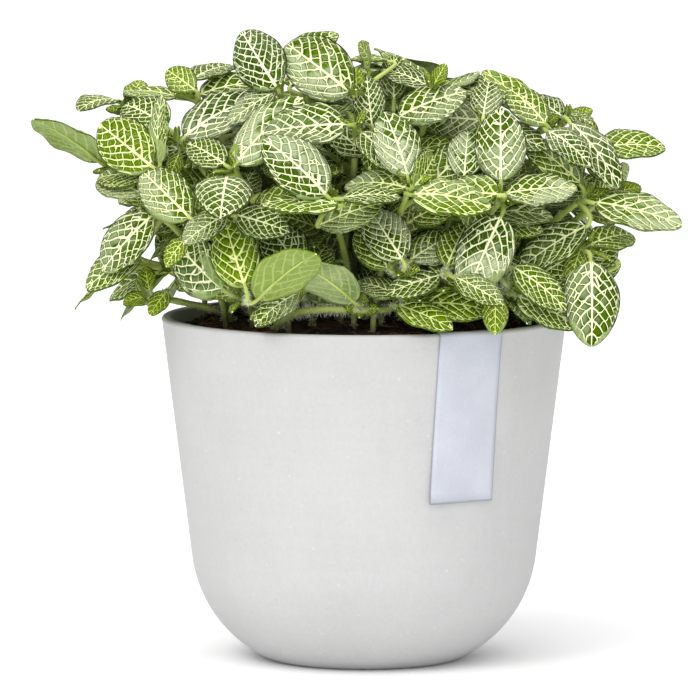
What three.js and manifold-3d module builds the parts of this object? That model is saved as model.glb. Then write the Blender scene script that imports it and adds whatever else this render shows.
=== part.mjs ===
// Potted nerve plant: a plain round pot filled with soil, a bare paper tag folded over its rim, and a
// low bush of leafy stems. Millimetres, Z up. The origin is the centre of the pot's flat underside,
// and the front, where the tag hangs, faces -Y.
import * as THREE from "three";
import { mergeVertices } from "three/addons/utils/BufferGeometryUtils.js";
import Module from "manifold-3d";

const wasm = await Module();
wasm.setup();

const DEGREE = Math.PI / 180;
const GAP = 0.3; // air between pieces that touch on the real thing
const SLIVER = 0.02; // edges shorter than about this, left by fusing, are closed up

// Pot: a straight leaning wall, a wide round belly and a small round at the foot.
const POT_HEIGHT = 136;
const RIM_RADIUS = 80;
const WALL = 4;
const WALL_LEAN = 7.1 * DEGREE;
const BELLY_ROUND = 51.5;
const FOOT_ROUND = 10;
const FOOT_TURN = 63 * DEGREE; // below the horizontal, where the foot's round meets the belly's
const LIP_ROUND = 1.3;
const POT_SIDES = 36;

// Soil: heaped a little in the middle, lowest along the wall.
const SOIL_HEAP = 138; // its height in the middle
const SOIL_FLAT = 26; // as far out as this it lies level
const SOIL_SLOPE_END = 64;
const SOIL_FALL = 5; // from the level middle to the end of the slope
const SOIL_EDGE = 130; // its height at the wall
const SOIL_CROWN = 0.5; // the middle point stands this much higher
const SOIL_SIDES = 20;
const SOIL_SLACK = 0.7; // from the pot's wall

// Paper tag, hooked over the rim to the right of the front.
const TAG_WIDTH = 28.5;
const TAG_DROP = 67;
const TAG_TUCK = 4.6;
const TAG_PAPER = 0.6;
const TAG_TURN = 31.5 * DEGREE;
const TAG_CORNER = 0.5; // cut off the fold's corners over the lip
const TAG_RING_SIDES = 72;

// Stems and blades.
const STEM_RADIUS = 1.7;
const STEM_TIP_RADIUS = 1.3;
const STEM_SIDES = 4;
const STEM_STEPS = 3;
const PEG_DEPTH = 11; // the part of a stem below the soil's surface
const ROOT_SPOTS = 110; // places for stems in the soil, spread like a sunflower's seeds
const ROOT_REACH = 64;
const ROOT_SHARE = 0.62; // how far out a stem is rooted, as a share of its crown's reach
const SUNFLOWER = 137.508 * DEGREE;
const STEM_ROOM = 0.5; // kept clear between two stems
const LEAF_ROOM = 0.35; // kept clear between leaves of different stems
const HEART = POT_HEIGHT - 10; // stems lean away from this height on the axis
const LEAST_RISE = 12; // of a stem above the soil, where its curve is drawn
const PAIR_STEP = 2.7; // along the stem, from one pair of leaves to the next
const BLADE = 0.7; // thickness
const STALK_HALF_WIDTH = 0.9;
const STALK_THICKNESS = 1.5;
const WIDTH_SHARE = 0.7; // a blade's width over its length
const FOLDED_STATION = 0.42; // where a blade is widest, and folded along its midrib
const BLADE_STATIONS = [0.13, FOLDED_STATION, 0.74]; // along the midrib, as shares of the length
const SMALL_STATIONS = [0.2, 0.62];
const SMALL_LEAF = 13;
const DROOP = [16, 42]; // degrees that a blade bends over its length
const FOLD = [0.05, 0.26]; // rise of its edges over their distance from the midrib
const LEAN = 0.07; // the most that one edge stands higher than the other

// The bush is measured as it is seen from the front, looking a little down on it.
const LOOK_DOWN = 6 * DEGREE;
const DOME = { across: 128, up: 108, near: 86, middle: 12, roundness: 0.75 };

// Leafy stems seen from the front. crown: millimetres right of the pot's axis and above its rim; near:
// how far it stands in front of the axis, where the dome doesn't give it. leaves: right, above, the
// way the tip points (degrees, 0 right, 90 up), length, then how far the face turns to the right and
// to the sky (degrees), and how much nearer than the crown it stands.
const FRONT_STEMS = [
  {
    crown: [38, 48],
    near: 60,
    leaves: [
      [38.5, 53, 85, 24, 0, 40, 0],
      [36, 48.5, 205, 20, -20, 45, 0],
      [39, 46, -70, 20, 10, 30, 0],
    ],
  },
  {
    crown: [10.5, 73],
    near: 48,
    leaves: [
      [13.5, 76.5, 21, 29, 0, 35, 4],
      [11.5, 84, 90, 19, 0, 25, -10],
      [8, 72.5, 250, 22, 0, 35, 0],
      [3, 73, 96, 20, -10, 15, 5],
    ],
  },
  {
    crown: [53, 44],
    leaves: [
      [52.5, 52, 90, 30, 0, 22, 0],
      [54.5, 46.5, 5, 28, 5, 45, 0],
      [51, 46, 180, 26, -30, 45, 0],
      [52.5, 37.5, 246, 34, -3, 8, 4],
    ],
  },
  {
    crown: [17.5, 49.5],
    leaves: [
      [18.5, 46, -10, 31, 5, 47, 3],
      [16.5, 53.5, 110, 28, 8, 24, 1],
      [16, 48.5, 177, 27, -25, 55, 2],
      [19, 49, 59, 22, 58, 10, 2],
      [18, 52, 80, 12, 20, 40, 3],
    ],
  },
  {
    crown: [86, 45.5],
    leaves: [
      [89.5, 43.5, -15, 35, 10, 45, 3],
      [85.5, 34, 213, 30, -25, 40, 4],
      [83.5, 51, 142, 28, 35, 35, 1],
      [84.5, 52, 120, 26, -50, 10, -4],
    ],
  },
  {
    crown: [85.5, 25.5],
    leaves: [
      [87.5, 20.5, 270, 34, 5, 12, 8],
      [83.5, 24.5, 255, 15, -20, 30, 0],
      [88.5, 27.5, 12, 22, 30, 50, -2],
    ],
  },
  {
    crown: [89.5, 61],
    leaves: [
      [91, 65, 0, 27, 10, 55, 0],
      [87, 62, 195, 22, -10, 50, 0],
      [88, 66, 110, 16, 10, 40, -4],
    ],
  },
  {
    crown: [97, 47.5],
    near: 34,
    leaves: [
      [100, 51, 59, 24, 78, 5, 0],
      [96, 52, 120, 20, 20, 40, -2],
    ],
  },
  {
    crown: [78.5, 75.5],
    leaves: [
      [80.5, 74, -54, 31, 40, 30, 2],
      [76, 78.5, -19, 18, 0, 70, -6],
      [76.5, 77.5, 150, 20, 0, 60, 0],
    ],
  },
  {
    crown: [69, 72.5],
    leaves: [
      [69, 75, 139, 31, 35, 42, -3],
      [70, 74, 136, 22, 0, 30, 4],
      [71, 71, -40, 22, 20, 35, 0],
      [66, 70, 215, 20, -10, 40, 0],
    ],
  },
  {
    crown: [26, 87],
    leaves: [
      [27, 89.5, 17, 25, 0, 74, 0],
      [29, 89, -12, 30, 10, 66, -8],
      [24, 89, 160, 20, 0, 50, -3],
    ],
  },
  {
    crown: [46, 73],
    leaves: [
      [45, 75.5, 164, 27, -28, 15, 2],
      [48, 72, -20, 24, 15, 50, 0],
      [46, 77, 80, 20, 0, 45, -6],
    ],
  },
  {
    crown: [-3, 84],
    leaves: [
      [-5.5, 86, 142, 35, -20, 18, 4],
      [2, 96, 118, 17, 72, 0, -14],
      [9, 99, 180, 15, 0, 72, -16],
    ],
  },
  {
    crown: [-33, 86],
    leaves: [
      [-34, 88, 122, 29, -18, 20, 2],
      [-30, 97, 34, 27, -20, 56, -10],
      [-35, 86, 215, 22, -20, 40, 0],
    ],
  },
  {
    crown: [-72, 67],
    leaves: [
      [-69.5, 69, 26, 40, -10, 50, 3],
      [-77, 73, 152, 26, -25, 45, 0],
      [-72, 62, 250, 11, 0, 20, 2],
    ],
  },
  {
    crown: [-66, 84],
    leaves: [
      [-64, 86, 11, 28, 0, 52, 3],
      [-66, 87.5, 144, 18, -30, 30, 3],
      [-67, 92, 21, 25, 0, 72, -10],
      [-73, 85, 173, 24, -10, 70, 0],
    ],
  },
  {
    crown: [-92, 79],
    near: 18,
    leaves: [
      [-97, 84, 198, 22, 0, 74, 0],
      [-91, 83, 70, 15, 0, 50, 0],
    ],
  },
  {
    crown: [-50, 55],
    leaves: [
      [-49, 58.5, 44.5, 36, -24, 26, 2],
      [-53, 53, 263, 33, 0, 60, 3],
      [-54, 58, 150, 20, -15, 40, 0],
    ],
  },
  {
    crown: [-3.5, 72],
    leaves: [
      [-7, 73, 186, 32, -5, 40, 3],
      [0, 62, 141, 22, 0, 30, -4],
      [-1, 70, -50, 22, 10, 35, 0],
    ],
  },
  {
    crown: [-13, 43],
    leaves: [
      [-15, 46, 138.6, 32, 15, 20, 2],
      [-10, 42, 180, 30, 0, 68, 8],
      [-8, 44.5, 0, 22, 0, 62, 5],
      [-17, 34, 20, 26, 0, 38, 2],
    ],
  },
  {
    crown: [-52, 40],
    leaves: [
      [-49, 38, -18, 24, -20, 30, 2],
      [-54, 38, 215, 20, -10, 40, 0],
      [-50, 43, 60, 20, 0, 45, -4],
    ],
  },
  {
    crown: [-47, 6],
    near: 58,
    leaves: [
      [-46, 11, 107, 30, -18, 25, 4],
      [-55, 10, 134, 32, -40, 5, 2],
      [-41, 6, 37, 37, -20, 125, 8],
    ],
  },
  {
    crown: [13.5, 17],
    near: 70,
    leaves: [
      [14.5, 21, 123, 27, -15, 28, 5],
      [9, 18, 123, 25, -20, 30, 0],
      [18, 21, 30, 24, 10, 40, 0],
      [14, 19, 70, 22, 0, 45, -3],
    ],
  },
  {
    crown: [-26, 8],
    near: 62,
    leaves: [
      [-25, 18, 127, 26, -20, 30, 0],
      [-26, 8, 218, 22, -10, 40, 8],
      [-31, 3, 200, 15, 0, 50, 3],
      [-22, 14, 60, 20, 0, 45, 0],
    ],
  },
  {
    crown: [-1, 2],
    near: 60,
    leaves: [
      [-4, 5, 147, 27, 10, 125, 8],
      [2, 6, 75, 20, 5, 45, -2],
    ],
  },
  {
    crown: [16, 4],
    near: 62,
    leaves: [
      [13, 3.5, -24, 24, 10, 50, 8],
      [23, 4, -7, 26, 5, 42, 4],
      [13, 7, 150, 20, -10, 50, 0],
    ],
  },
  {
    crown: [55, 10],
    near: 62,
    leaves: [
      [50.5, 7, 269, 15, 0, 12, 10],
      [59, 7, -28, 26, 20, 35, 6],
      [57.5, 18, -39, 26, 25, 30, 3],
      [53, 14, 120, 22, -10, 40, 0],
    ],
  },
  {
    crown: [32, 16],
    near: 66,
    leaves: [
      [32, 19, 65, 25, 0, 45, 0],
      [29, 15, 200, 22, -10, 45, 0],
      [35, 14, -30, 22, 10, 45, 3],
    ],
  },
  {
    crown: [-98, 56],
    near: 26,
    leaves: [
      [-103, 60, 148, 36, -30, 118, 0],
      [-96, 60, 100, 18, -20, 40, -6],
    ],
  },
  {
    crown: [-80, 56],
    leaves: [
      [-82.5, 57.5, 141, 31, -25, 20, 4],
      [-83.5, 54.5, 184, 24, -35, 45, 2],
      [-79.5, 59, 87, 26, -60, 0, -2],
      [-86, 47, 164, 24, -25, 48, 3],
    ],
  },
  {
    crown: [-65, 35.5],
    leaves: [
      [-67.5, 37.5, 136, 31, -22, 25, 4],
      [-69, 29, 235, 13, -20, 20, 2],
    ],
  },
  {
    crown: [-81, 39],
    near: 48,
    leaves: [
      [-82.5, 38, 228, 29, -28, 12, 6],
      [-87, 25, 216, 26, -32, 35, 2],
      [-93, 30, 145, 14, -60, 20, 0],
    ],
  },
  {
    crown: [-82, 7],
    near: 26,
    leaves: [
      [-84, 10, 100, 11, -20, 30, 2],
      [-85, 7, 195, 10, -20, 30, 2],
      [-77, 9, 235, 12, -10, 30, 4],
      [-86, 5, 92, 15, -62, 10, -2],
    ],
  },
];

// Leafy stems all round the rest of the bush, its top and the inside of its front, placed by rings.
// from, to: degrees round the pot from the front; near: distance out from the axis; sky: how far the
// faces turn up.
const RINGS = [
  { count: 7, from: 84, to: 276, up: 9, near: 76, sky: [25, 50] },
  { count: 5, from: 100, to: 260, up: 36, near: 70, sky: [28, 55] },
  { count: 4, from: 112, to: 248, up: 62, near: 54, sky: [35, 60] },
  { count: 3, from: 60, to: 300, up: 80, near: 24, sky: [55, 70] },
  { count: 1, from: 5, to: 5, up: 78, near: 14, sky: [55, 70] },
];
const RING_SEED = 1000;
const RULED = {
  leaves: 4,
  roll: [20, 70], // where the first leaf points, in degrees
  jitter: 14,
  spread: 5, // from the crown to a blade's foot
  length: [27, 34],
  faceRight: 22,
  nearer: 3, // the second pair before the first
};

// Where a leaf would cross one that has grown already, it stands a little nearer or farther, then
// turned, then smaller.
const SHIFTS = [0, 2.5, -2.5, 5, -5, 7.5, -7.5, 10, -10, 13, -13, 16, -16];
const TURNS = [0, 13, -13]; // degrees
const SCALES = [1, 0.85];

// Evenly spread draws from one whole number, the same on every run.
function dice(seed) {
  let state = Math.imul(seed + 17, 2654435761) >>> 0;
  const draw = () => {
    state = (Math.imul(state, 1664525) + 1013904223) >>> 0;
    return state / 4294967296;
  };
  draw();
  draw();
  return draw;
}

function between(draw, low, high) {
  return low + (high - low) * draw();
}

// ---------------------------------------------------------------- solids

function solidFrom(positions, corners) {
  const mesh = new wasm.Mesh({
    numProp: 3,
    vertProperties: new Float32Array(positions),
    triVerts: new Uint32Array(corners),
  });
  return new wasm.Manifold(mesh);
}

// A closed three.js surface as a solid, without the slivers that a lathe leaves on its axis.
function solidOf(geometry) {
  geometry.deleteAttribute("normal");
  geometry.deleteAttribute("uv");
  const merged = mergeVertices(geometry, 1e-3);
  const all = merged.index.array;
  const corners = [];
  for (let i = 0; i < all.length; i += 3) {
    const [a, b, c] = all.slice(i, i + 3);
    if (a !== b && b !== c && c !== a) {
      corners.push(a, b, c);
    }
  }
  return solidFrom(merged.attributes.position.array, corners);
}

// The largest shell of a fused solid: what fusing seals inside is filled and a loose scrap is dropped.
function largestShell(solid) {
  return solid.decompose().reduce((a, b) => (b.volume() > a.volume() ? b : a));
}

function turned(outline, sides) {
  const lathe = new THREE.LatheGeometry(outline, sides);
  return solidOf(lathe.rotateX(Math.PI / 2));
}

function meshOf(name, solid, material) {
  const made = solid.getMesh();
  const geometry = new THREE.BufferGeometry();
  geometry.setAttribute("position", new THREE.BufferAttribute(made.vertProperties, 3));
  geometry.setIndex(new THREE.BufferAttribute(made.triVerts, 1));
  geometry.computeVertexNormals();
  const mesh = new THREE.Mesh(geometry, material);
  mesh.name = name;
  return mesh;
}

// ---------------------------------------------------------------- pot, soil, tag

function arc(centre, radius, from, to, steps) {
  return Array.from({ length: steps + 1 }, (_, i) => {
    const angle = from + ((to - from) * i) / steps;
    const x = centre.x + radius * Math.cos(angle);
    return new THREE.Vector2(x, centre.y + radius * Math.sin(angle));
  });
}

function wallRadius(inset, height) {
  return RIM_RADIUS - inset / Math.cos(WALL_LEAN) - (POT_HEIGHT - height) * Math.tan(WALL_LEAN);
}

// The bowl's outline from the axis up to a height on the wall, moved inwards by inset.
function bowlOutline(inset, height, steps) {
  const span = BELLY_ROUND - FOOT_ROUND;
  const bellyHeight = FOOT_ROUND + span * Math.sin(FOOT_TURN);
  const wallFoot = bellyHeight - BELLY_ROUND * Math.sin(WALL_LEAN);
  const bellyRadius = wallRadius(0, wallFoot) - BELLY_ROUND * Math.cos(WALL_LEAN);
  const belly = new THREE.Vector2(bellyRadius, bellyHeight);
  const foot = new THREE.Vector2(bellyRadius + span * Math.cos(FOOT_TURN), FOOT_ROUND);
  return [
    new THREE.Vector2(0, inset),
    ...arc(foot, FOOT_ROUND - inset, -Math.PI / 2, -FOOT_TURN, 1),
    ...arc(belly, BELLY_ROUND - inset, -FOOT_TURN, -WALL_LEAN, steps).slice(1),
    new THREE.Vector2(wallRadius(inset, height), height),
  ];
}

function pot() {
  const outside = bowlOutline(0, POT_HEIGHT - LIP_ROUND, 6);
  const inside = bowlOutline(WALL, POT_HEIGHT - LIP_ROUND, 4);
  const lip = [
    new THREE.Vector2(RIM_RADIUS - LIP_ROUND * 0.3, POT_HEIGHT - LIP_ROUND * 0.3),
    new THREE.Vector2(RIM_RADIUS - LIP_ROUND, POT_HEIGHT),
    new THREE.Vector2(RIM_RADIUS - WALL + LIP_ROUND, POT_HEIGHT),
    new THREE.Vector2(RIM_RADIUS - WALL + LIP_ROUND * 0.3, POT_HEIGHT - LIP_ROUND * 0.3),
  ];
  return turned([...outside, ...lip, ...inside.reverse()], POT_SIDES);
}

function soilHeight(point) {
  const past = Math.hypot(point.x, point.y) - SOIL_FLAT;
  const share = THREE.MathUtils.clamp(past / (SOIL_SLOPE_END - SOIL_FLAT), 0, 1);
  return SOIL_HEAP - SOIL_FALL * share * share;
}

function soil(roots) {
  const bowl = bowlOutline(WALL + SOIL_SLACK, SOIL_EDGE, 4);
  const halfway = (SOIL_FLAT + SOIL_SLOPE_END) / 2;
  const heap = [SOIL_SLOPE_END, halfway, SOIL_FLAT].map(
    (radius) => new THREE.Vector2(radius, soilHeight({ x: radius, y: 0 })),
  );
  heap.push(new THREE.Vector2(0, SOIL_HEAP + SOIL_CROWN));
  const body = turned([...bowl, ...heap], SOIL_SIDES);
  const hole = STEM_RADIUS + GAP;
  const drill = wasm.Manifold.cylinder(PEG_DEPTH * 4, hole, hole, STEM_SIDES);
  const holes = roots.map((root) =>
    drill.translate([root.x, root.y, root.z - PEG_DEPTH - GAP]),
  );
  return body.subtract(wasm.Manifold.union(holes));
}

// A strip of a thin ring that follows the wall, over the lip and a little way down inside.
function tag() {
  const far = GAP + TAG_PAPER;
  const insideNear = 2 * GAP;
  const insideFar = insideNear + TAG_PAPER;
  const inner = RIM_RADIUS - WALL;
  const under = POT_HEIGHT - LIP_ROUND;
  const low = POT_HEIGHT + GAP;
  const high = low + TAG_PAPER;
  const drop = POT_HEIGHT - TAG_DROP;
  const tuck = POT_HEIGHT - TAG_TUCK;
  const corners = [
    [wallRadius(-far, drop), drop],
    [RIM_RADIUS + far, under],
    [RIM_RADIUS - TAG_CORNER, high],
    [inner + TAG_CORNER, high],
    [inner - insideFar, under],
    [wallRadius(WALL + insideFar, tuck), tuck],
    [wallRadius(WALL + insideNear, tuck), tuck],
    [inner - insideNear, under],
    [inner + TAG_CORNER, low],
    [RIM_RADIUS - TAG_CORNER, low],
    [RIM_RADIUS + GAP, under],
    [wallRadius(-GAP, drop), drop],
  ];
  const outline = [...corners, corners[0]].map((corner) => new THREE.Vector2(...corner));
  const ring = turned(outline, TAG_RING_SIDES);
  const slot = wasm.Manifold.cube([TAG_WIDTH, RIM_RADIUS, 2 * TAG_DROP], true);
  const place = slot.translate([0, -RIM_RADIUS, drop + TAG_DROP / 2]);
  return ring.intersect(place.rotate([0, 0, TAG_TURN / DEGREE]));
}

// ---------------------------------------------------------------- stems and leaves

// The directions of a view from the front, turned round the pot.
function viewFrom(turn) {
  const up = new THREE.Vector3(0, 0, 1);
  const across = new THREE.Vector3(1, 0, 0).applyAxisAngle(up, turn);
  const toward = new THREE.Vector3(0, -Math.cos(LOOK_DOWN), Math.sin(LOOK_DOWN));
  const skyward = new THREE.Vector3(0, Math.sin(LOOK_DOWN), Math.cos(LOOK_DOWN));
  return {
    across,
    toward: toward.applyAxisAngle(up, turn),
    skyward: skyward.applyAxisAngle(up, turn),
    turn,
  };
}

// A point given as it is seen: right of the axis, above the rim, and in front of the axis.
function seenAt(view, right, above, near) {
  const height = POT_HEIGHT + (above + near * Math.sin(LOOK_DOWN)) / Math.cos(LOOK_DOWN);
  const point = new THREE.Vector3(right, -near, height);
  return point.applyAxisAngle(new THREE.Vector3(0, 0, 1), view.turn);
}

function domeNear(right, above) {
  const left = 1 - (right / DOME.across) ** 2 - ((above - DOME.middle) / DOME.up) ** 2;
  return DOME.near * Math.max(left, 0.03) ** DOME.roundness;
}

// The blade's own axes: along the midrib, across it, and out of its upper face.
function bladeAxes(view, pointing, right, sky) {
  const face = new THREE.Vector3()
    .addScaledVector(view.toward, Math.cos(right) * Math.cos(sky))
    .addScaledVector(view.across, Math.sin(right) * Math.cos(sky))
    .addScaledVector(view.skyward, Math.sin(sky));
  const along = new THREE.Vector3()
    .addScaledVector(view.across, Math.cos(pointing))
    .addScaledVector(view.skyward, Math.sin(pointing));
  along.addScaledVector(view.toward, -along.dot(face) / view.toward.dot(face)).normalize();
  return { along, across: new THREE.Vector3().crossVectors(face, along), face };
}

function halfWidth(share) {
  return Math.sin(Math.PI * share ** 0.85) ** 0.75;
}

// One leaf with its stalk as rows of points with a top and a bottom: the stalk's root and end, then
// the blade, which arches along its midrib and rises from it to both edges. extra is spare room.
function leafRows(leaf, extra) {
  const { root, base, axes, length, droop, fold, lean } = leaf;
  const rows = [];
  const pair = (centre, across, face, half, thick) =>
    [1, -1].map((side) => {
      const point = centre.clone().addScaledVector(across, side * (half + extra));
      return {
        top: point.clone().addScaledVector(face, thick / 2 + extra),
        bottom: point.clone().addScaledVector(face, -thick / 2 - extra),
      };
    });
  const stalk = base.clone().sub(root).normalize();
  const side = new THREE.Vector3().crossVectors(axes.face, stalk).normalize();
  const upper = new THREE.Vector3().crossVectors(stalk, side);
  rows.push(pair(root, side, upper, STALK_HALF_WIDTH * 0.6, STALK_THICKNESS * 0.7));
  rows.push(pair(base, axes.across, axes.face, STALK_HALF_WIDTH, STALK_THICKNESS * 0.8));
  const bend = length / droop;
  const stations = length < SMALL_LEAF ? SMALL_STATIONS : BLADE_STATIONS;
  for (const share of [...stations, 1]) {
    const angle = droop * (share - 0.5);
    const out = bend * (Math.sin(droop / 2) + Math.sin(angle));
    const rise = bend * (Math.cos(angle) - Math.cos(droop / 2));
    const middle = base.clone().addScaledVector(axes.along, out).addScaledVector(axes.face, rise);
    const face = axes.face
      .clone()
      .multiplyScalar(Math.cos(angle))
      .addScaledVector(axes.along, Math.sin(angle));
    const half = share < 1 ? 0.5 * WIDTH_SHARE * length * halfWidth(share) + extra : 0;
    const places = share === 1 ? [0] : share === FOLDED_STATION ? [1, 0, -1] : [1, -1];
    rows.push(
      places.map((place) => {
        const lift = half * (Math.abs(place) * fold + place * lean);
        const point = middle
          .clone()
          .addScaledVector(axes.across, place * half)
          .addScaledVector(face, lift);
        return {
          top: point.clone().addScaledVector(face, BLADE / 2 + extra),
          bottom: point.clone().addScaledVector(face, -BLADE / 2 - extra),
        };
      }),
    );
  }
  return rows;
}

// A closed sheet over the rows, split into triangles alike on its top and its bottom.
function sheet(rows) {
  const positions = [];
  const corners = [];
  const top = rows.map((row) =>
    row.map((point) => {
      positions.push(...point.top.toArray(), ...point.bottom.toArray());
      return positions.length / 3 - 2;
    }),
  );
  const both = (a, b, c) => corners.push(a, c, b, a + 1, b + 1, c + 1);
  const wall = (a, b) => corners.push(a, b + 1, a + 1, a, b, b + 1);
  for (let r = 0; r + 1 < top.length; r++) {
    const [here, next] = [top[r], top[r + 1]];
    let [i, j] = [0, 0];
    while (i < here.length - 1 || j < next.length - 1) {
      const ahead = (j + 1) * (here.length - 1) < (i + 1) * (next.length - 1);
      if (j < next.length - 1 && (ahead || i === here.length - 1)) {
        both(here[i], next[j], next[j + 1]);
        j++;
      } else {
        both(here[i], next[j], here[i + 1]);
        i++;
      }
    }
    wall(here[0], next[0]);
    wall(next.at(-1), here.at(-1));
  }
  const [first, last] = [top[0], top.at(-1)];
  for (let i = 0; i + 1 < first.length; i++) {
    wall(first[i + 1], first[i]);
  }
  for (let i = 0; i + 1 < last.length; i++) {
    wall(last[i], last[i + 1]);
  }
  return solidFrom(positions, corners);
}

// A stem rises straight out of the soil and bends over to its crown.
function stemPath(root, crown, outward) {
  const rise = Math.max(crown.z - root.z, LEAST_RISE);
  const reach = crown.distanceTo(root);
  return new THREE.CubicBezierCurve3(
    root,
    root.clone().setZ(root.z + 0.4 * rise),
    crown.clone().addScaledVector(outward, -0.3 * reach),
    crown,
  );
}

function stemSolid(root, path, extra) {
  const rings = [
    { centre: root.clone().setZ(root.z - PEG_DEPTH), along: new THREE.Vector3(0, 0, 1) },
    { centre: root, along: new THREE.Vector3(0, 0, 1) },
  ];
  for (let i = 1; i <= STEM_STEPS; i++) {
    rings.push({
      centre: path.getPoint(i / STEM_STEPS),
      along: path.getTangent(i / STEM_STEPS),
    });
  }
  const positions = [];
  const corners = [];
  rings.forEach(({ centre, along }, r) => {
    const thin = Math.max(r - 1, 0) / STEM_STEPS;
    const radius = THREE.MathUtils.lerp(STEM_RADIUS, STEM_TIP_RADIUS, thin) + extra;
    const turn = new THREE.Quaternion().setFromUnitVectors(new THREE.Vector3(0, 0, 1), along);
    for (let s = 0; s < STEM_SIDES; s++) {
      const angle = (2 * Math.PI * s) / STEM_SIDES;
      const spoke = new THREE.Vector3(Math.cos(angle), Math.sin(angle), 0).multiplyScalar(radius);
      positions.push(...spoke.applyQuaternion(turn).add(centre).toArray());
      if (r > 0) {
        const [a, b] = [(r - 1) * STEM_SIDES + s, (r - 1) * STEM_SIDES + ((s + 1) % STEM_SIDES)];
        corners.push(a, b, b + STEM_SIDES, a, b + STEM_SIDES, a + STEM_SIDES);
      }
    }
  });
  const end = (rings.length - 1) * STEM_SIDES;
  for (let s = 1; s + 1 < STEM_SIDES; s++) {
    corners.push(0, s + 1, s, end, end + s, end + s + 1);
  }
  return solidFrom(positions, corners);
}

// ---------------------------------------------------------------- growing the bush

// Rows of leaves for a stem that has no list of its own: pairs crosswise round the crown.
function ruledLeaves(draw, above, sky) {
  const { spread, jitter, faceRight } = RULED;
  const roll = between(draw, ...RULED.roll);
  return Array.from({ length: RULED.leaves }, (_, i) => {
    const pair = Math.floor(i / 2);
    const pointing = roll + 180 * (i % 2) + 90 * pair + between(draw, -jitter, jitter);
    const right = spread * Math.cos(pointing * DEGREE);
    const up = above + 2 + spread * Math.sin(pointing * DEGREE);
    const length = between(draw, ...RULED.length);
    const turn = between(draw, -faceRight, faceRight);
    return [right, up, pointing, length, turn, between(draw, ...sky), RULED.nearer * pair];
  });
}

function allStems() {
  const listed = FRONT_STEMS.map((stem) => ({
    view: viewFrom(0),
    crown: stem.crown,
    near: stem.near ?? domeNear(...stem.crown),
    leaves: stem.leaves,
  }));
  const ruled = RINGS.flatMap((ring, r) =>
    Array.from({ length: ring.count }, (_, i) => {
      const draw = dice(RING_SEED + 40 * r + i);
      const share = ring.count > 1 ? i / (ring.count - 1) : 0.5;
      const turn = ring.from + (ring.to - ring.from) * share + between(draw, -5, 5);
      const above = ring.up + between(draw, -4, 4);
      return {
        view: viewFrom(turn * DEGREE),
        crown: [0, above],
        near: ring.near + between(draw, -4, 2),
        leaves: ruledLeaves(draw, above, ring.sky),
      };
    }),
  );
  return [...listed, ...ruled];
}

function overlaps(solid, others) {
  const box = solid.boundingBox();
  return others.some((other) => {
    const apart = [0, 1, 2].some(
      (k) => box.min[k] > other.box.max[k] || box.max[k] < other.box.min[k],
    );
    return !apart && !solid.intersect(other.solid).isEmpty();
  });
}

function kept(solid) {
  return { solid, box: solid.boundingBox() };
}

// Each stem takes the free place in the soil that is nearest to below its crown and leaves it clear.
function plant(stem, planted) {
  const crown = seenAt(stem.view, stem.crown[0], stem.crown[1], stem.near);
  const outward = crown.clone().sub(new THREE.Vector3(0, 0, HEART)).normalize();
  const below = crown.clone().multiplyScalar(ROOT_SHARE).setZ(0);
  const spots = Array.from({ length: ROOT_SPOTS }, (_, i) => {
    const reach = ROOT_REACH * Math.sqrt((i + 0.5) / ROOT_SPOTS);
    return new THREE.Vector3(reach * Math.cos(i * SUNFLOWER), reach * Math.sin(i * SUNFLOWER), 0);
  });
  spots.sort((a, b) => a.distanceTo(below) - b.distanceTo(below));
  for (const root of spots) {
    root.z = soilHeight(root);
    const path = stemPath(root, crown, outward);
    if (!overlaps(stemSolid(root, path, STEM_ROOM), planted)) {
      const along = path.getTangent(1);
      Object.assign(stem, { crown, root, along, solid: stemSolid(root, path, 0), own: [] });
      return;
    }
  }
  throw new Error(`stem ${stem.number + 1} finds no room`);
}

// A leaf where its row puts it, or at the first of the tries that crosses nothing.
function growLeaf(stem, row, number, others) {
  const [right, above, pointing, length, faceRight, faceSky, nearer] = row;
  const draw = dice(stem.number * 50 + number);
  const pairsAbove = Math.ceil(stem.leaves.length / 2) - 1 - Math.floor(number / 2);
  const leaf = {
    root: stem.crown.clone().addScaledVector(stem.along, -PAIR_STEP * (pairsAbove + 0.4)),
    droop: between(draw, ...DROOP) * DEGREE,
    fold: between(draw, ...FOLD),
    lean: between(draw, -LEAN, LEAN),
  };
  const tries = SCALES.flatMap((scale) =>
    TURNS.flatMap((turn) => SHIFTS.map((shift) => [scale, turn, shift])),
  );
  for (const [scale, turn, shift] of tries) {
    const angles = [pointing + turn, faceRight, faceSky].map((angle) => angle * DEGREE);
    leaf.axes = bladeAxes(stem.view, ...angles);
    leaf.length = length * scale;
    leaf.base = seenAt(stem.view, right, above, stem.near + 3 + nearer);
    leaf.base.addScaledVector(stem.view.toward, shift);
    const rows = leafRows(leaf, 0);
    const blade = sheet(rows.slice(2));
    if (!overlaps(sheet(leafRows(leaf, LEAF_ROOM)), others) && !overlaps(blade, stem.own)) {
      stem.own.push(kept(blade));
      return sheet(rows);
    }
  }
  return null;
}

function growBush(potSolid, tagSolid) {
  const planted = [];
  const stems = allStems().map((stem, number) => ({ ...stem, number }));
  // The low stems have the least room to choose from, so they are planted first.
  [...stems]
    .sort((a, b) => a.crown[1] - b.crown[1])
    .forEach((stem) => {
      plant(stem, planted);
      planted.push(kept(stem.solid));
    });
  const fixed = [kept(potSolid), kept(tagSolid)];
  const leaves = [];
  stems.forEach((stem) => {
    const otherStems = stems.filter((one) => one !== stem).map((one) => kept(one.solid));
    const others = [...fixed, ...otherStems, ...leaves];
    const grown = stem.leaves
      .map((row, number) => growLeaf(stem, row, number, others))
      .filter(Boolean);
    leaves.push(...grown.map(kept));
    const whole = wasm.Manifold.union([stem.solid, ...grown]);
    stem.whole = largestShell(whole.simplify(SLIVER));
  });
  return stems;
}

// ---------------------------------------------------------------- the part

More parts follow.
